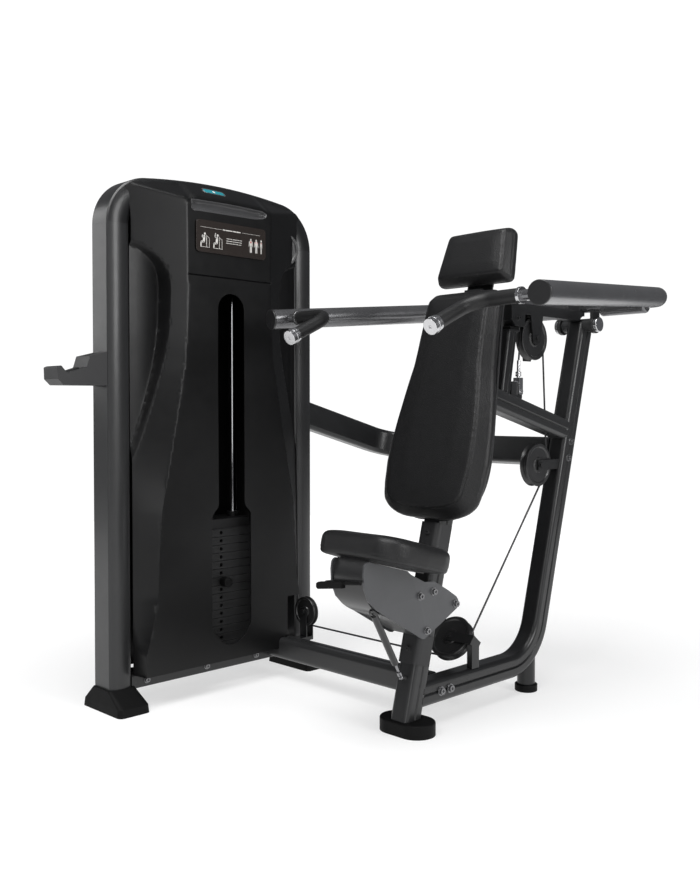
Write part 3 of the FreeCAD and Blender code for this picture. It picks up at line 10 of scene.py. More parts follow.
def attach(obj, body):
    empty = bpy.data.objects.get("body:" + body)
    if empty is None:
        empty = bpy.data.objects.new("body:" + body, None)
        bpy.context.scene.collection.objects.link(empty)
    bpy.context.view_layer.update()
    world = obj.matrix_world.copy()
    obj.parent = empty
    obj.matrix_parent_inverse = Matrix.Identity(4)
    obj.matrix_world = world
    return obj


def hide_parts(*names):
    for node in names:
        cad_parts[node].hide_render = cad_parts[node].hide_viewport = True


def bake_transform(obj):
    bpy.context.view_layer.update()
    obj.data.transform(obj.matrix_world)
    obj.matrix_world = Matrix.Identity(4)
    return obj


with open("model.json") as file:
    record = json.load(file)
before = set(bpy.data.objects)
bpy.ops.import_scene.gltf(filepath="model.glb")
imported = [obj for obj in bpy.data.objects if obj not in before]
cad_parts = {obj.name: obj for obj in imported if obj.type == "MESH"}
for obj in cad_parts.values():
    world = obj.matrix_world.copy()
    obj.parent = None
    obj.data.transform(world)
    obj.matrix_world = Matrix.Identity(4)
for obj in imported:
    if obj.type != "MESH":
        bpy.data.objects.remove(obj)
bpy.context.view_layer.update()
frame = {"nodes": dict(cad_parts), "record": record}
nodes = frame["nodes"]

# The modelling frame has x = 0 on the seat's centre plane; OFF moves it to the row's origin.
axle = np.array([v.co for v in nodes["axle_shaft"].data.vertices])
OFF = Vector((axle.min(0) + axle.max(0)) / 2) - Vector((0.0, 1.010, 1.106))


def P(x, y, z):
    """Modelling-frame millimetres to row metres."""
    return Vector((x, y, z)) / 1000.0 + OFF


# ---- materials -----------------------------------------------------------------------------
def node(tree, kind, **inputs):
    """Shader node with some of its sockets set to constants."""
    made = tree.nodes.new(kind)
    for name, value in inputs.items():
        made.inputs[name.replace("_", " ")].default_value = value
    return made


def material(name, colour, rough, metal=0.0, coat=0.0, grain=900.0, bump=0.05, mottle=0.12, edge=0.0012,
             wear=0.0, grain_kind="noise", spec=0.5, aniso=0.0, sheen=0.0, stretch=(1, 1, 1)):
    """Principled surface with fine relief, uneven roughness, rounded edges and lightly worn rims."""
    mat = bpy.data.materials.new(name)
    mat.use_nodes = True
    t = mat.node_tree
    bsdf = t.nodes["Principled BSDF"]
    put = lambda n, v: setattr(bsdf.inputs[n], "default_value", v)
    put("Metallic", metal)
    put("Coat Weight", coat)
    put("Coat Roughness", 0.12)
    put("Specular IOR Level", spec)
    put("Anisotropic", aniso)
    put("Sheen Weight", sheen)
    put("Sheen Roughness", 0.4)
    coords = t.nodes.new("ShaderNodeNewGeometry")
    scaled = node(t, "ShaderNodeMapping", Scale=stretch)
    t.links.new(coords.outputs["Position"], scaled.inputs["Vector"])
    broad = node(t, "ShaderNodeTexNoise", Scale=7.0, Detail=4.0)
    t.links.new(scaled.outputs["Vector"], broad.inputs["Vector"])
    tone = t.nodes.new("ShaderNodeValToRGB")
    tone.color_ramp.elements[0].position = 0.3
    tone.color_ramp.elements[1].position = 0.7
    tone.color_ramp.elements[0].color = [c * (1 - mottle) for c in colour[:3]] + [1]
    tone.color_ramp.elements[1].color = [min(1, c * (1 + mottle)) for c in colour[:3]] + [1]
    t.links.new(broad.outputs["Fac"], tone.inputs["Fac"])
    base = tone.outputs["Color"]
    if wear:
        rim = t.nodes.new("ShaderNodeValToRGB")
        rim.color_ramp.elements[0].position = 0.54
        rim.color_ramp.elements[1].position = 0.66
        t.links.new(coords.outputs["Pointiness"], rim.inputs["Fac"])
        worn = node(t, "ShaderNodeMix")
        worn.data_type = "RGBA"
        scale = node(t, "ShaderNodeMath")
        scale.operation = "MULTIPLY"
        scale.inputs[1].default_value = wear
        t.links.new(rim.outputs["Color"], scale.inputs[0])
        t.links.new(scale.outputs[0], worn.inputs["Factor"])
        t.links.new(base, worn.inputs[6])
        worn.inputs[7].default_value = [min(1, c * 2.2 + 0.05) for c in colour[:3]] + [1]
        base = worn.outputs[2]
    t.links.new(base, bsdf.inputs["Base Color"])
    streak = node(t, "ShaderNodeTexNoise", Scale=38.0, Detail=6.0)
    t.links.new(scaled.outputs["Vector"], streak.inputs["Vector"])
    spread = node(t, "ShaderNodeMapRange")
    spread.inputs["To Min"].default_value = max(0.02, rough - 0.06)
    spread.inputs["To Max"].default_value = rough + 0.06
    t.links.new(streak.outputs["Fac"], spread.inputs["Value"])
    t.links.new(spread.outputs["Result"], bsdf.inputs["Roughness"])
    rounded = t.nodes.new("ShaderNodeBevel")
    rounded.samples = 4
    rounded.inputs["Radius"].default_value = edge
    if grain_kind == "leather":
        fine = node(t, "ShaderNodeTexVoronoi", Scale=grain)
        height = fine.outputs["Distance"]
    else:
        fine = node(t, "ShaderNodeTexNoise", Scale=grain, Detail=2.0)
        height = fine.outputs["Fac"]
    t.links.new(scaled.outputs["Vector"], fine.inputs["Vector"])
    relief = node(t, "ShaderNodeBump", Strength=bump, Distance=0.001)
    t.links.new(height, relief.inputs["Height"])
    t.links.new(rounded.outputs["Normal"], relief.inputs["Normal"])
    t.links.new(relief.outputs["Normal"], bsdf.inputs["Normal"])
    return mat


FINISHES = {
    "frame_paint": dict(colour=(0.0075, 0.0077, 0.0082), rough=0.33, coat=0.10, spec=0.42, grain=1400,
                        bump=0.10, wear=0.25),
    "arm_paint": dict(colour=(0.15, 0.15, 0.155), rough=0.25, metal=0.8, coat=0.20, grain=1600,
                      bump=0.025, wear=0.2),
    "plate_paint": dict(colour=(0.042, 0.043, 0.046), rough=0.36, metal=0.30, coat=0.15, grain=1500,
                        bump=0.08, wear=0.4),
    "shroud_plastic": dict(colour=(0.0026, 0.0026, 0.0028), rough=0.36, coat=0.02, spec=0.27, grain=700,
                           bump=0.05, mottle=0.2),
    "gloss_plastic": dict(colour=(0.060, 0.060, 0.062), rough=0.14, coat=0.7, grain=200, bump=0.01),
    "label": dict(colour=(0.017, 0.0125, 0.0105), rough=0.24, coat=0.15, grain=300, bump=0.01,
                  mottle=0.05),
    "rubber_black": dict(colour=(0.0026, 0.0026, 0.0027), rough=0.60, grain=800, bump=0.14, spec=0.14),
    "grip_rubber": dict(colour=(0.0065, 0.0065, 0.0068), rough=0.46, grain=1100, bump=0.16, spec=0.36),
    "upholstery": dict(colour=(0.0058, 0.0058, 0.0062), rough=0.42, grain=420, bump=0.42,
                       grain_kind="leather", mottle=0.1, edge=0.0008, spec=0.36, sheen=0.02),
    "board": dict(colour=(0.014, 0.014, 0.015), rough=0.5, grain=900, bump=0.1),
    "bright_steel": dict(colour=(0.55, 0.55, 0.56), rough=0.20, metal=1.0, grain=300, bump=0.02,
                         mottle=0.04, aniso=0.3),
    "rod_chrome": dict(colour=(0.30, 0.30, 0.31), rough=0.10, metal=1.0, grain=250, bump=0.01,
                       mottle=0.03, edge=0.0005),
    "stack_iron": dict(colour=(0.0060, 0.0060, 0.0064), rough=0.46, grain=420, bump=0.22, wear=0.3,
                       spec=0.25),
    "wheel_plastic": dict(colour=(0.014, 0.014, 0.0145), rough=0.30, coat=0.12, grain=900, bump=0.05),
    "bolt_steel": dict(colour=(0.20, 0.20, 0.205), rough=0.28, metal=0.9, grain=300, bump=0.03,
                       mottle=0.1),
    "cable_jacket": dict(colour=(0.016, 0.016, 0.017), rough=0.36, grain=1500, bump=0.1, edge=0.0004),
}
MATS = {name: material(name, **finish) for name, finish in FINISHES.items()}

slot_of = {s["node"]: s["material_slot"] for s in frame["record"]["subparts"]}
# These nodes look different from the rest of their slot.
OTHER_SLOT = {"selector_pin": "rubber_black", "selector_stem": "stack_iron", "frame_bolts": "bolt_steel",
              "seat_rollers": "bolt_steel", "gas_cylinder": "wheel_plastic", "seat_pan": "wheel_plastic",
              "seat_lever": "rubber_black", "arm_end_caps": "wheel_plastic"}
for name, obj in nodes.items():
    obj.data.materials.clear()
    obj.data.materials.append(MATS[OTHER_SLOT.get(name, slot_of[name])])


# ---- mesh helpers --------------------------------------------------------------------------
def new_mesh(name, verts, faces, body, slot, smooth=True, replaces=()):
    """Mesh object that rides on a body, with its material slot and the nodes it stands for."""
    mesh = bpy.data.meshes.new(name)
    mesh.from_pydata([tuple(v) for v in verts], [], [tuple(f) for f in faces])
    mesh.update()
    obj = bpy.data.objects.new(name, mesh)
    bpy.context.scene.collection.objects.link(obj)
    mesh.materials.append(MATS[slot])
    if smooth:
        mesh.polygons.foreach_set("use_smooth", [True] * len(mesh.polygons))
    if body:
        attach(obj, body)
    if replaces:
        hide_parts(*replaces)
    return obj


def apply_all(obj):
    """Bake the modifiers into the mesh."""
    dg = bpy.context.evaluated_depsgraph_get()
    baked = bpy.data.meshes.new_from_object(obj.evaluated_get(dg), depsgraph=dg)
    obj.modifiers.clear()
    obj.data = baked
    return obj


def smooth_step(t):
    """0 to 1 with level ends."""
    t = np.clip(t, 0.0, 1.0)
    return t * t * (3 - 2 * t)


# ---- upholstery ----------------------------------------------------------------------------
def upholstered(source, body, shape, pressure, cap):
    """Closed pad from an outline function, swelled by a short cloth simulation under its cover."""
    verts, faces = shape()
    pad = new_mesh(source + "_cushion", verts, faces, None, "upholstery")
    remesh = pad.modifiers.new("remesh", "REMESH")
    remesh.mode = "VOXEL"
    remesh.voxel_size = 0.0055
    apply_all(pad)
    rest = np.array([v.co for v in pad.data.vertices])
    cloth = pad.modifiers.new("cloth", "CLOTH")
    cloth.settings.quality = 5
    cloth.settings.mass = 0.3
    cloth.settings.tension_stiffness = 30
    cloth.settings.compression_stiffness = 30
    cloth.settings.bending_stiffness = 4
    cloth.settings.use_pressure = True
    cloth.settings.uniform_pressure_force = pressure
    cloth.settings.effector_weights.gravity = 0.0
    cloth.point_cache.frame_start = 1
    cloth.point_cache.frame_end = 20
    for f in range(1, 21):
        bpy.context.scene.frame_set(f)
    apply_all(pad)
    bpy.context.scene.frame_set(1)
    mesh = pad.data
    co = np.array([v.co for v in mesh.vertices])
    out = np.array([v.normal for v in mesh.vertices])
    swell = ((co - rest) * out).sum(1)
    a, b = np.array([e.vertices for e in mesh.edges]).T
    ties = np.bincount(np.concatenate([a, b]), minlength=len(co))
    for _ in range(24):
        swell = np.clip(swell, 0.0, cap)
        near = np.bincount(a, swell[b], len(co)) + np.bincount(b, swell[a], len(co))
        swell = 0.4 * swell + 0.6 * near / ties
    co = rest + out * swell[:, None]
    mesh.vertices.foreach_set("co", co.astype(np.float32).ravel())
    pad.modifiers.new("round", "SUBSURF").render_levels = 1
    pad.modifiers["round"].levels = 1
    apply_all(pad)
    pad.data.polygons.foreach_set("use_smooth", [True] * len(pad.data.polygons))
    pad.data.materials.clear()
    pad.data.materials.append(MATS["upholstery"])
    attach(pad, body)
    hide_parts(source)
    return pad


def loft(rings, close_first=True, close_last=True):
    """Verts and quads through equal-length rings of points."""
    n = len(rings[0])
    verts = [p for r in rings for p in r]
    faces = []
    for i in range(len(rings) - 1):
        for j in range(n):
            k = (j + 1) % n
            faces.append((i * n + j, i * n + k, (i + 1) * n + k, (i + 1) * n + j))
    if close_first:
        c = len(verts)
        verts.append(sum((Vector(p) for p in rings[0]), Vector()) / n)
        faces += [(c, (j + 1) % n, j) for j in range(n)]
    if close_last:
        c = len(verts)
        verts.append(sum((Vector(p) for p in rings[-1]), Vector()) / n)
        base = (len(rings) - 1) * n
        faces += [(c, base + j, base + (j + 1) % n) for j in range(n)]
    return verts, faces


def curve_points(keys, count):
    """Catmull-Rom points through (t, value) keys at count even steps."""
    t = np.array([k[0] for k in keys], float)
    v = np.array([k[1] for k in keys], float)
    s = np.linspace(t[0], t[-1], count)
    m = np.gradient(v, t)
    i = np.clip(np.searchsorted(t, s, side="right") - 1, 0, len(t) - 2)
    h = t[i + 1] - t[i]
    u = (s - t[i]) / h
    return (v[i] * (2 * u**3 - 3 * u**2 + 1) + h * m[i] * (u**3 - 2 * u**2 + u)
            + v[i + 1] * (3 * u**2 - 2 * u**3) + h * m[i + 1] * (u**3 - u**2))


def plane_frame(lean_deg):
    """Directions up along a leaning pad and out of its front."""
    a = math.radians(lean_deg)
    return Vector((0, math.sin(a), math.cos(a))), Vector((0, -math.cos(a), math.sin(a)))


# ---- back, head and seat pads --------------------------------------------------------------
def pad_outline(width, length, low, top, inset, n=56, taper=(1.0, 1.0)):
    """Outline (u, v) of a pad: half-width as a function of v, corners (rx, ry) at each end."""
    right = []
    for k in range(n + 1):
        v = inset + (length - 2 * inset) * (1 - math.cos(math.pi * k / n)) / 2
        w = float(width(v)) - inset * (taper[0] + (taper[1] - taper[0]) * v / length)
        for (rx, ry), d in ((low, v - inset), (top, length - inset - v)):
            rx, ry = max(rx - 0.5 * inset, 6), max(ry - 0.5 * inset, 6)
            if d < ry:
                w -= rx * (1 - math.sqrt(max(0.0, 1 - ((ry - d) / ry) ** 2)))
        right.append((max(w, 0.5), v))
    return right + [(-u, v) for u, v in reversed(right)]


def on_pad(u, v, h, up, out, origin):
    """Point of a pad: across, up along its lean, and out of its rear plane."""
    return P(0, 0, 0) + (Vector((u, 0, 0)) + up * v + out * h + Vector(origin)) / 1000


def pad_shape(width, length, low, top, profile, origin, lean, taper=(1.0, 1.0)):
    """Loft of outlines: profile lists (inset, height above the pad's rear plane)."""
    up, out = plane_frame(lean)

    def shape():
        rings = []
        for inset, h in profile:
            outline = pad_outline(width, length, low, top, inset, taper=taper)
            rings.append([on_pad(u, v, h, up, out, origin) for u, v in outline])
        return loft(rings)
    return shape


def keyed(keys):
    """Function that runs straight between (position, value) keys."""
    t, v = [k[0] for k in keys], [k[1] for k in keys]
    return lambda x: np.interp(x, t, v)


def sew(pad, width, length, low, top, origin, lean, lines, depth=2.0, reach=5.0, taper=(1.0, 1.0)):
    """Press seams into a pad: each line is (inset, height) and follows the pad's outline."""
    up, out = plane_frame(lean)
    seam = []
    for inset, h in lines:
        outline = pad_outline(width, length, low, top, inset, 120, taper)
        ring = [on_pad(u, v, h, up, out, origin) for u, v in outline]
        seam += [a.lerp(b, f / 3.0) for a, b in zip(ring, ring[1:] + ring[:1]) for f in range(3)]
    seam = np.array(seam)
    mesh = pad.data
    co = np.array([v.co for v in mesh.vertices])
    normal = np.array([v.normal for v in mesh.vertices])
    near = np.full(len(co), 1e9)
    for i in range(0, len(seam), 200):
        d = np.linalg.norm(co[:, None, :] - seam[None, i:i + 200, :], axis=2).min(axis=1)
        near = np.minimum(near, d)
    push = depth / 1000 * np.exp(-(near * 1000 / reach * 1.6) ** 2)
    mesh.vertices.foreach_set("co", (co - normal * push[:, None]).astype(np.float32).ravel())
    mesh.update()


back_width = keyed([(0, 150), (40, 160), (90, 169), (150, 174), (205, 171), (260, 166), (315, 158),
                    (365, 149), (420, 139), (520, 129), (620, 121), (650, 119)])
BACK = dict(width=back_width, length=636, low=(94, 56), top=(26, 26), origin=(0, 296, 545), lean=15.5,
            taper=(1.6, 0.75))
back_pad = upholstered("back_pad", "frame", pad_shape(
    profile=[(60, 8), (6, 8), (2, 13), (1, 24), (2, 31), (24, 54), (27, 57), (70, 60)], **BACK), 2.5, 0.003)
sew(back_pad, lines=[(24, 58), (0, 32)], depth=2.2, reach=4.0, **BACK)

head_width = keyed([(0, 128), (14, 128), (150, 111), (162, 109)])
HEAD = dict(width=head_width, length=160, low=(16, 16), top=(18, 18), origin=(0, 499, 1178), lean=17.0)
head_pad = upholstered("head_pad", "frame", pad_shape(
    profile=[(50, 6), (8, 6), (3, 12), (1, 24), (2, 33), (15, 57), (18, 60), (45, 62)], **HEAD), 2.5, 0.003)
sew(head_pad, lines=[(15, 60), (0, 34)], depth=1.8, reach=4.0, **HEAD)

seat_width = keyed([(0, 143), (128, 148), (256, 143)])
SEAT = dict(width=seat_width, length=258, low=(66, 66), top=(66, 66), origin=(0, -19.8, 482.5), lean=104.6)
seat_pad = upholstered("seat_pad", "seat_carriage", pad_shape(
    profile=[(70, 1), (10, 1), (3, 5), (1, 14), (0.5, 36), (1.5, 49), (7, 57), (16, 60), (70, 63)],
    **SEAT), 3.0, 0.004)
sew(seat_pad, lines=[(3, 14), (6, 50)], depth=1.6, reach=4.0, **SEAT)


# ---- tower front: one moulded skin with side scoops, selector slot and tray ----------------
MID = 109.0               # the tower's middle
PANEL_X = -620.0          # front of the middle panel, at its centre
BEND_X = -623.0           # depth at the creases beside the panel
SIDE_DROP = 55.0          # how far the side facets run back
EDGE = 308.0              # half-width of the moulding
POCKET_X = -688.0         # floor of the side pockets
ROOF_LIMIT_X = -687.0     # deepest point of the roof
ROOF_SLOPE = 0.58         # half of the roof's fall over its rise
CREASE_STEP = 12.0
crease = keyed([(92, 300), (154, 298), (231, 277), (311, 260), (442, 254), (549, 246), (630, 230),
                (721, 212), (800, 197), (900, 180), (985, 163), (1105, 154), (1326, 154), (1500, 158)])
roof_crease = keyed([(0, 1455), (124, 1452), (150, 1443), (303, 1471), (330, 1476)])
SCOOP = [(316, 1314), (305, 1311), (278, 1304), (254, 1290), (230, 1271), (214, 1250), (205, 1225),
         (201, 1187), (202, 1137), (204, 1086), (213, 1018), (227, 954), (245, 891), (264, 828), (284, 765),
         (301, 715), (314, 680)]


def smooth_line(points, steps=6):
    """Smooth curve through points."""
    t = list(range(len(points)))
    count = (len(points) - 1) * steps + 1
    return np.stack([curve_points(list(zip(t, [p[i] for p in points])), count) for i in (0, 1)], axis=1)


def arch_line(inset, a0, count):
    """Points along the arch's outer edge from angle a0 round the corner to the centre."""
    corner = [(238 + (140 - inset) * math.cos(a), 1356.2 + (140 - inset) * math.sin(a))
              for a in np.linspace(a0, math.radians(82.4), 10)]
    half = math.radians(7.6)
    top = [((1935 - inset) * math.sin(a), -423 + (1935 - inset) * math.cos(a))
           for a in np.linspace(half, 0, count)]
    return corner[:-1] + top


def distance(points, line):
    """Distance of each point from a polyline."""
    a, b = line[:-1], line[1:]
    ab = b - a
    t = np.clip(((points[:, None] - a) * ab).sum(2) / np.maximum((ab**2).sum(1), 1e-9), 0, 1)
    return np.linalg.norm(points[:, None] - (a + t[..., None] * ab), axis=2).min(1)


def inside(points, polygon):
    """Which points lie in a polygon."""
    x, y = points[:, 0], points[:, 1]
    hit = np.zeros(len(points), bool)
    for (x0, y0), (x1, y1) in zip(polygon, np.roll(polygon, -1, axis=0)):
        cross = ((y0 > y) != (y1 > y)) & (x < (x1 - x0) * (y - y0) / (y1 - y0 + 1e-12) + x0)
        hit ^= cross
    return hit


scoop_line = smooth_line(SCOOP)
roof_half = [(309, 1398), (313, 1420), (318, 1440)] + arch_line(5, math.radians(52), 24)
roof_line = np.array(roof_half + [(-a, z) for a, z in reversed(roof_half[:-1])])


def front_x(ya, z):
    """Depth of the moulded front; ya is measured from the tower's middle, all in millimetres."""
    a = np.abs(ya)
    hw = crease(z)
    t = np.clip((a - hw) / np.maximum(EDGE - hw, 16), 0, 1.2)
    x = np.where(a < hw, PANEL_X + (BEND_X - PANEL_X) * (a / hw) ** 2, BEND_X - SIDE_DROP * t)
    x = np.minimum(x, BEND_X - SIDE_DROP * smooth_step((a - 300) / 7.0))
    pts = np.stack([a, z], 1)
    d = distance(pts, scoop_line)
    deep = inside(pts, np.vstack([scoop_line, [[400, 680], [400, 1314]]]))
    floor_x = POCKET_X + 5 * np.sin(math.pi * np.clip((a - 200) / 108.0, 0, 1))
    x = np.where(deep, x + (np.minimum(floor_x, x) - x) * smooth_step(d / 13.0), x)
    over = z - roof_crease(a)
    x = np.maximum(x - ROOF_SLOPE * (over + np.sqrt(over ** 2 + 30)), np.minimum(x, ROOF_LIMIT_X))
    x = x + 0.9 * np.sin(ya / 47.0 + 1.3 * np.sin(z / 160.0)) * np.sin(z / 118.0) * (a < hw) * (z < 1200)
    seam = np.exp(-((z - 1229.0) / 1.3) ** 2) * (a < hw - 1.5)
    return x - 3.5 * seam


def slot_outline():
    """Long slot: narrow above, wide for the hand, with a rounded lower end."""
    half = [(49, 562), (52, 552), (73, 528), (73, 205), (70, 190), (58, 172), (40, 152), (20, 141),
            (0, 138)]
    top = [(49 * math.cos(t), 1135 + 49 * math.sin(t)) for t in np.linspace(0, math.pi, 24)]
    low = [(-u, z) for u, z in half] + half[-2::-1]
    return [(u + 1, z) for u, z in top + low]


TRAY = [(-141, 1446), (-70, 1448), (0, 1449), (70, 1448), (124, 1446), (137, 1441), (141, 1434),
        (137, 1427), (124, 1421), (90, 1416), (-90, 1413), (-126, 1412), (-138, 1414), (-141, 1420)]


def moulded_front():
    """One thin skin: the outline, slot and tray are cut in the flat, then each point gets its depth."""
    outline = [(-307.4, 92), (200, 92), (221, 92), (221, 252), (307.4, 252), (307.4, 1372)]
    outline += [tuple(p) for p in roof_line] + [(-307.4, 1372)]
    loops = [outline, slot_outline(), TRAY]
    points, edges = [], []

    def add(line, closed):
        start = len(points)
        dense = []
        pairs = list(zip(line, line[1:] + line[:1])) if closed else list(zip(line, line[1:]))
        for (x0, y0), (x1, y1) in pairs:
            n = max(1, int(math.hypot(x1 - x0, y1 - y0) / 9))
            dense += [(x0 + (x1 - x0) * k / n, y0 + (y1 - y0) * k / n) for k in range(n)]
        if not closed:
            dense.append(line[-1])
        points.extend(dense)
        last = len(points) - 1
        edges.extend((i, i + 1) for i in range(start, last))
        if closed:
            edges.append((last, start))

    for loop in loops:
        add(loop, True)
    clip = [q for q in scoop_line.tolist() if q[0] < 306]
    for s in (1, -1):
        for shift in (0.0, 3.0, 7.0, 12.0, 17.0):
            tangent = np.gradient(np.array(clip), axis=0)
            tangent /= np.linalg.norm(tangent, axis=1, keepdims=True)
            moved = np.array(clip) + shift * np.stack([-tangent[:, 1], tangent[:, 0]], 1)
            moved = [q for q in moved.tolist() if q[0] < 304]
            add([(s * a, z) for a, z in moved], False)
        add([(s * float(crease(z)), z) for z in np.arange(96, 1430, CREASE_STEP)], False)
        for rise in (-5.0, -2.0, 0.0, 2.0, 5.0):
            add([(s * a, float(roof_crease(a)) + rise) for a in np.arange(162.0, 298.0, 8.0)], False)
    for z in (1226.6, 1228.2, 1229.0, 1229.8, 1231.4):
        add([(-float(crease(z)) + 2, z), (float(crease(z)) - 2, z)], False)
    loops_np = [np.array(q, float) for q in loops]
    gy, gz = np.meshgrid(np.arange(-302, 304, 7.5), np.arange(97, 1508, 7.5))
    grid = np.stack([gy.ravel(), gz.ravel()], 1)
    keep = inside(grid, loops_np[0]) & ~inside(grid, loops_np[1]) & ~inside(grid, loops_np[2])
    keep &= distance(grid, np.vstack([loops_np[0], loops_np[0][:1]])) > 3
    points += [tuple(q) for q in grid[keep]]
    out, _, tris, *_ = delaunay_2d_cdt([Vector(q) for q in points], edges, [], 0, 1e-4)
    flat = np.array([tuple(q) for q in out])
    centre = np.array([flat[list(f)].mean(0) for f in tris])
    good = inside(centre, loops_np[0]) & ~inside(centre, loops_np[1]) & ~inside(centre, loops_np[2])
    x = front_x(flat[:, 0], flat[:, 1])
    verts = [P(xx, MID + q[0], q[1]) for xx, q in zip(x, flat)]
    faces = [tuple(f) for f, g in zip(tris, good) if g]
    skin = new_mesh("shroud_skin", verts, faces, "frame", "shroud_plastic",
                    replaces=("shroud_front", "top_cover"))
    mesh = skin.data
    if sum(p.normal.x for p in mesh.polygons) < 0:
        mesh.flip_normals()
    thick = skin.modifiers.new("thick", "SOLIDIFY")
    thick.thickness = 0.0038
    thick.offset = -1
    apply_all(skin)
    skin.data.polygons.foreach_set("use_smooth", [True] * len(skin.data.polygons))
    skin.data.set_sharp_from_angle(angle=math.radians(34))
    return skin


moulded_front()


def tray_scoop():
    """Glossy finger scoop behind the tray's opening."""
    ring = [(MID + u, z) for u, z in TRAY]
    dense = []
    for (y0, z0), (y1, z1) in zip(ring, ring[1:] + ring[:1]):
        n = max(1, int(math.hypot(y1 - y0, z1 - z0) / 10))
        dense += [(y0 + (y1 - y0) * k / n, z0 + (z1 - z0) * k / n) for k in range(n)]
    rings = []
    steps = ((1.0, 0.0, 0.0), (6, 1.5, 0.5), (10, 4.0, 1.0), (13, 8.0, 2.0), (14.5, 12.5, 3.0))
    base = front_x(np.array([q[0] - MID for q in dense]), np.array([q[1] for q in dense]))
    for depth, shrink, drop in steps:
        rings.append([P(b - depth, MID + (y - MID) * (1 - shrink / 141),
                        1436 + (z - 1436) * (1 - shrink / 16) - 0.3 * drop)
                      for (y, z), b in zip(dense, base)])
    verts, faces = loft(rings, close_first=False)
    scoop = new_mesh("tray_scoop", verts, faces, "frame", "gloss_plastic", replaces=("top_tray",))
    thick = scoop.modifiers.new("thick", "SOLIDIFY")
    thick.thickness = 0.002
    apply_all(scoop)
    scoop.data.polygons.foreach_set("use_smooth", [True] * len(scoop.data.polygons))


tray_scoop()


# ---- placard print and badge ---------------------------------------------------------------
MATS["print_white"] = material("print_white", (0.60, 0.585, 0.56), 0.35, grain=500, bump=0.02, mottle=0.05)
MATS["print_red"] = material("print_red", (0.40, 0.055, 0.045), 0.35, grain=500, bump=0.02, mottle=0.05)
MATS["badge_teal"] = material("badge_teal", (0.008, 0.19, 0.23), 0.22, coat=0.4, grain=500, bump=0.02,
                              mottle=0.1)


def disc(u, z, r, n=20):
    """Outline of a round mark."""
    turns = np.linspace(0, 2 * math.pi, n, endpoint=False)
    return [(u + r * math.cos(t), z + r * math.sin(t)) for t in turns]


def limb(u0, z0, u1, z1, w):
    """Bar with blunt ends between two points."""
    d = np.array([u1 - u0, z1 - z0], float)
    d /= np.linalg.norm(d)
    side = np.array([-d[1], d[0]]) * w / 2
    a, b = np.array([u0, z0]), np.array([u1, z1])
    return [tuple(q) for q in (a - side, b - side, b + d * w * 0.4, b + side, a + side, a - d * w * 0.4)]


def printed(name, shapes, colour, x=-617.35, thick=0.25):
    """Flat marks on the placard, each outline a thin slab."""
    verts, faces = [], []
    for outline in shapes:
        n, base = len(outline), len(verts)
        verts += [P(x, MID + u, z) for u, z in outline] + [P(x + thick, MID + u, z) for u, z in outline]
        faces += [tuple(base + n + k for k in range(n)), tuple(base + k for k in reversed(range(n)))]
        faces += [(base + k, base + (k + 1) % n, base + n + (k + 1) % n, base + n + k) for k in range(n)]
    piece = new_mesh(name, verts, faces, "frame", "label", smooth=False)
    piece.data.materials.clear()
    piece.data.materials.append(MATS[colour])


def seated(u, lift):
    """Plain seated figure beside an upright, its hand at shoulder height or raised."""
    return [disc(u + 2, 1349, 3.4), limb(u, 1343, u - 2, 1325, 7.5), limb(u - 2, 1324, u - 11, 1326, 5.0),
            limb(u - 11, 1326, u - 12, 1313, 4.0), limb(u, 1341, u - 8, 1338 + lift, 2.8),
            limb(u - 8, 1338 + lift, u - 6, 1345 + 1.6 * lift, 2.4), limb(u + 8, 1312, u + 8, 1346, 1.6),
            limb(u + 8, 1344, u + 18, 1338, 1.3), limb(u + 18, 1312, u + 18, 1339, 1.3),
            limb(u - 14, 1311, u + 19, 1311, 1.2)]


def standing(u, w):
    """Plain standing figure of width w."""
    return [disc(u, 1352, 2.8), limb(u, 1347, u, 1334, w),
            limb(u - w * 0.2, 1333, u - w * 0.25, 1314, w * 0.36),
            limb(u + w * 0.2, 1333, u + w * 0.25, 1314, w * 0.36),
            limb(u - w * 0.62, 1346, u - w * 0.8, 1331, w * 0.2),
            limb(u + w * 0.62, 1346, u + w * 0.8, 1331, w * 0.2)]


marks = [limb(-115, 1368, -38, 1368, 0.8), limb(38, 1368, 106, 1368, 0.8)]
marks += [limb(u, 1368, u + w, 1368, 3.2) for u, w in ((-34, 9), (-22, 13), (-6, 6), (3, 11), (17, 14))]
for row, z in enumerate((1344, 1337.5, 1331)):
    u = -20.0 - row
    for w in ((11, 7, 14, 6, 9), (8, 12, 5, 13, 9), (13, 6, 10, 8, 9))[row]:
        marks.append(limb(u, z, u + w, z, 1.8))
        u += w + 2.6
marks += seated(-101, 0.0) + seated(-55, 6.0) + standing(71, 9) + standing(92, 9) + standing(111, 5)
printed("placard_marks", marks, "print_white")
accents = [disc(71, 1344, 3.0), disc(88.4, 1345, 1.9), disc(95.6, 1345, 1.9), disc(111, 1345, 1.7)]
printed("placard_accents", accents, "print_red", x=-617.1)


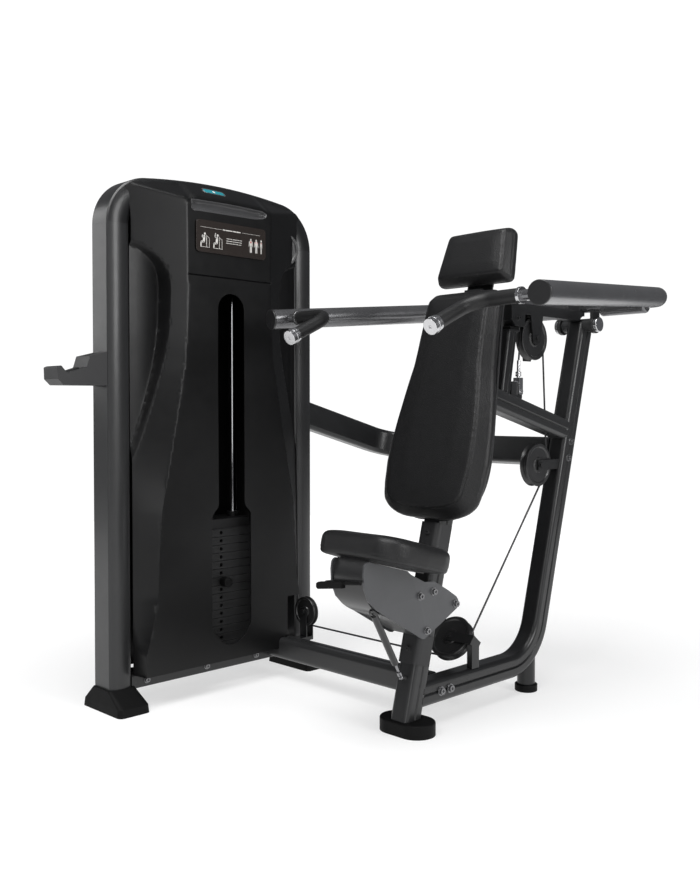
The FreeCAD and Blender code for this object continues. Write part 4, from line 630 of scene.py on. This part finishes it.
def badge_patch(name, half_u, half_z, lift, colour, mid_u=-37.0, mid_z=1484.0):
    """Lozenge laid on the moulded roof."""
    nu, nz = 36, 8
    rows = []
    for j in range(nz + 1):
        b = 2 * j / nz - 1
        reach = half_u * (1 - 0.16 * abs(b) ** 2.5)
        u = np.linspace(-reach, reach, nu + 1)
        z = mid_z + half_z * b - u * 0.03 - (u / 300.0) ** 2 * 40
        x = front_x(u + mid_u, z) + lift
        rows.append([P(*q) for q in zip(x, MID + mid_u + u, z)])
    verts = [q for r in rows for q in r]
    n = nu + 1
    faces = [(j * n + i, j * n + i + 1, (j + 1) * n + i + 1, (j + 1) * n + i)
             for j in range(nz) for i in range(nu)]
    piece = new_mesh(name, verts, faces, "frame", "label")
    piece.data.materials.clear()
    piece.data.materials.append(MATS[colour])
    if piece.data.polygons[0].normal.x < 0:
        piece.data.flip_normals()
    thick = piece.modifiers.new("thick", "SOLIDIFY")
    thick.thickness = lift / 1000
    apply_all(piece)


badge_patch("badge_rim", 40, 8.5, 0.7, "gloss_plastic")
badge_patch("badge_face", 36, 6.0, 1.2, "badge_teal")
badge_patch("badge_dot", 3.2, 3.0, 1.6, "print_white")


# ---- straight cable spans for the press arm and the stack ----------------------------------
def span(name, source, a, b, radius=2.8, steps=40, sides=14):
    """Straight cable between two points."""
    a, b = Vector(a), Vector(b)
    d = (b - a).normalized()
    u = d.orthogonal().normalized()
    w = d.cross(u)
    rings = []
    for k in range(steps + 1):
        c = a.lerp(b, k / steps)
        rings.append([P(*(c + u * radius * math.cos(t) + w * radius * math.sin(t)))
                      for t in np.linspace(0, 2 * math.pi, sides, endpoint=False)])
    verts, faces = loft(rings)
    obj = new_mesh(name, verts, faces, None, "cable_jacket", replaces=(source,))
    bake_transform(obj)
    return obj


def node_axis(name):
    """End points, in modelling millimetres, of a straight node that runs mostly up and down."""
    co = np.array([v.co for v in nodes[name].data.vertices])
    low, high = co[co[:, 2] < co[:, 2].min() + 0.004], co[co[:, 2] > co[:, 2].max() - 0.004]
    back = lambda c: tuple((Vector(c.mean(0)) - OFF) * 1000)
    return back(low), back(high)


SPAN_SHARE = 0.72         # the CAD span stops at this share of the way to its wheel
low, high = node_axis("cable_anchor_span")
high = tuple(a + (b - a) / SPAN_SHARE for a, b in zip(low, high))
span("anchor_span", "cable_anchor_span", low, high)
low, high = node_axis("cable_rear_span")
span("rear_span", "cable_rear_span", low, high)
low, high = node_axis("cable_stack_span")
span("stack_span", "cable_stack_span", high, low)


# ---- camera, floor and light ---------------------------------------------------------------
cam = bpy.data.objects.new("camera", bpy.data.cameras.new("camera"))
bpy.context.scene.collection.objects.link(cam)
bpy.context.scene.camera = cam
cam.data.sensor_width = 36.0
cam.data.lens = 40.23
cam.data.clip_end = 60.0
cam.location = P(1680, -1680, 840)
cam.rotation_euler = (math.radians(90 - 1.46), 0, math.radians(45.2))

REACH = 5.0               # radius of the floor disc, which glows more towards its rim
turns = np.linspace(0, 2 * math.pi, 96, endpoint=False)
ring = [(REACH * math.cos(t), REACH * math.sin(t), 0) for t in turns]
floor = bpy.data.objects.new("floor", bpy.data.meshes.new("floor"))
bpy.context.scene.collection.objects.link(floor)
floor.data.from_pydata(ring, [], [tuple(range(96))])
pale = bpy.data.materials.new("pale_floor")
pale.use_nodes = True
ft = pale.node_tree
fb = ft.nodes["Principled BSDF"]
fb.inputs["Base Color"].default_value = (0.42, 0.42, 0.42, 1)
fb.inputs["Roughness"].default_value = 0.8
fb.inputs["Specular IOR Level"].default_value = 0.1
fb.inputs["Emission Color"].default_value = (1, 1, 1, 1)
where = ft.nodes.new("ShaderNodeNewGeometry")
far = ft.nodes.new("ShaderNodeVectorMath")
far.operation = "LENGTH"
ft.links.new(where.outputs["Position"], far.inputs[0])
glow = ft.nodes.new("ShaderNodeMapRange")
for key, value in (("From Min", 0.9), ("From Max", 3.4), ("To Min", 0.58), ("To Max", 1.02)):
    glow.inputs[key].default_value = value
ft.links.new(far.outputs["Value"], glow.inputs["Value"])
ft.links.new(glow.outputs["Result"], fb.inputs["Emission Strength"])
floor.data.materials.append(pale)

bpy.context.scene.view_settings.view_transform = "Standard"
bpy.context.scene.view_settings.look = "None"
world = bpy.data.worlds.new("studio")
bpy.context.scene.world = world
world.use_nodes = True
wt = world.node_tree
back = wt.nodes["Background"]
back.inputs["Color"].default_value = (1, 1, 1, 1)
back.inputs["Strength"].default_value = 1.05
room = wt.nodes.new("ShaderNodeBackground")
room.inputs["Color"].default_value = (0.93, 0.95, 1.0, 1)
room.inputs["Strength"].default_value = 0.14
seen = wt.nodes.new("ShaderNodeLightPath")
pick = wt.nodes.new("ShaderNodeMixShader")
wt.links.new(seen.outputs["Is Camera Ray"], pick.inputs[0])
wt.links.new(room.outputs[0], pick.inputs[1])
wt.links.new(back.outputs[0], pick.inputs[2])
wt.links.new(pick.outputs[0], wt.nodes["World Output"].inputs["Surface"])


def lamp(name, place, target, size, power, tall=None):
    """Soft area lamp aimed at a point."""
    data = bpy.data.lights.new(name, "AREA")
    data.energy = power
    data.size = size
    if tall:
        data.shape = "RECTANGLE"
        data.size_y = tall
    obj = bpy.data.objects.new(name, data)
    bpy.context.scene.collection.objects.link(obj)
    obj.location = place
    obj.rotation_euler = (Vector(target) - Vector(place)).to_track_quat("-Z", "Y").to_euler()
    return obj


lamp("key", (0.6, -4.2, 4.2), (0, 0, 0.8), 2.2, 90)
lamp("side", (4.6, 0.6, 2.4), (0, 0, 0.9), 1.6, 120, 2.6)
lamp("top", (0.6, -1.2, 4.4), (0, 0, 0.0), 2.6, 150)
lamp("front", (4.0, -4.6, 1.7), (0, 0, 1.0), 1.6, 45, 2.6)
lamp("left", (-4.4, -2.2, 2.2), (-0.3, 0, 0.9), 1.4, 34, 2.4)
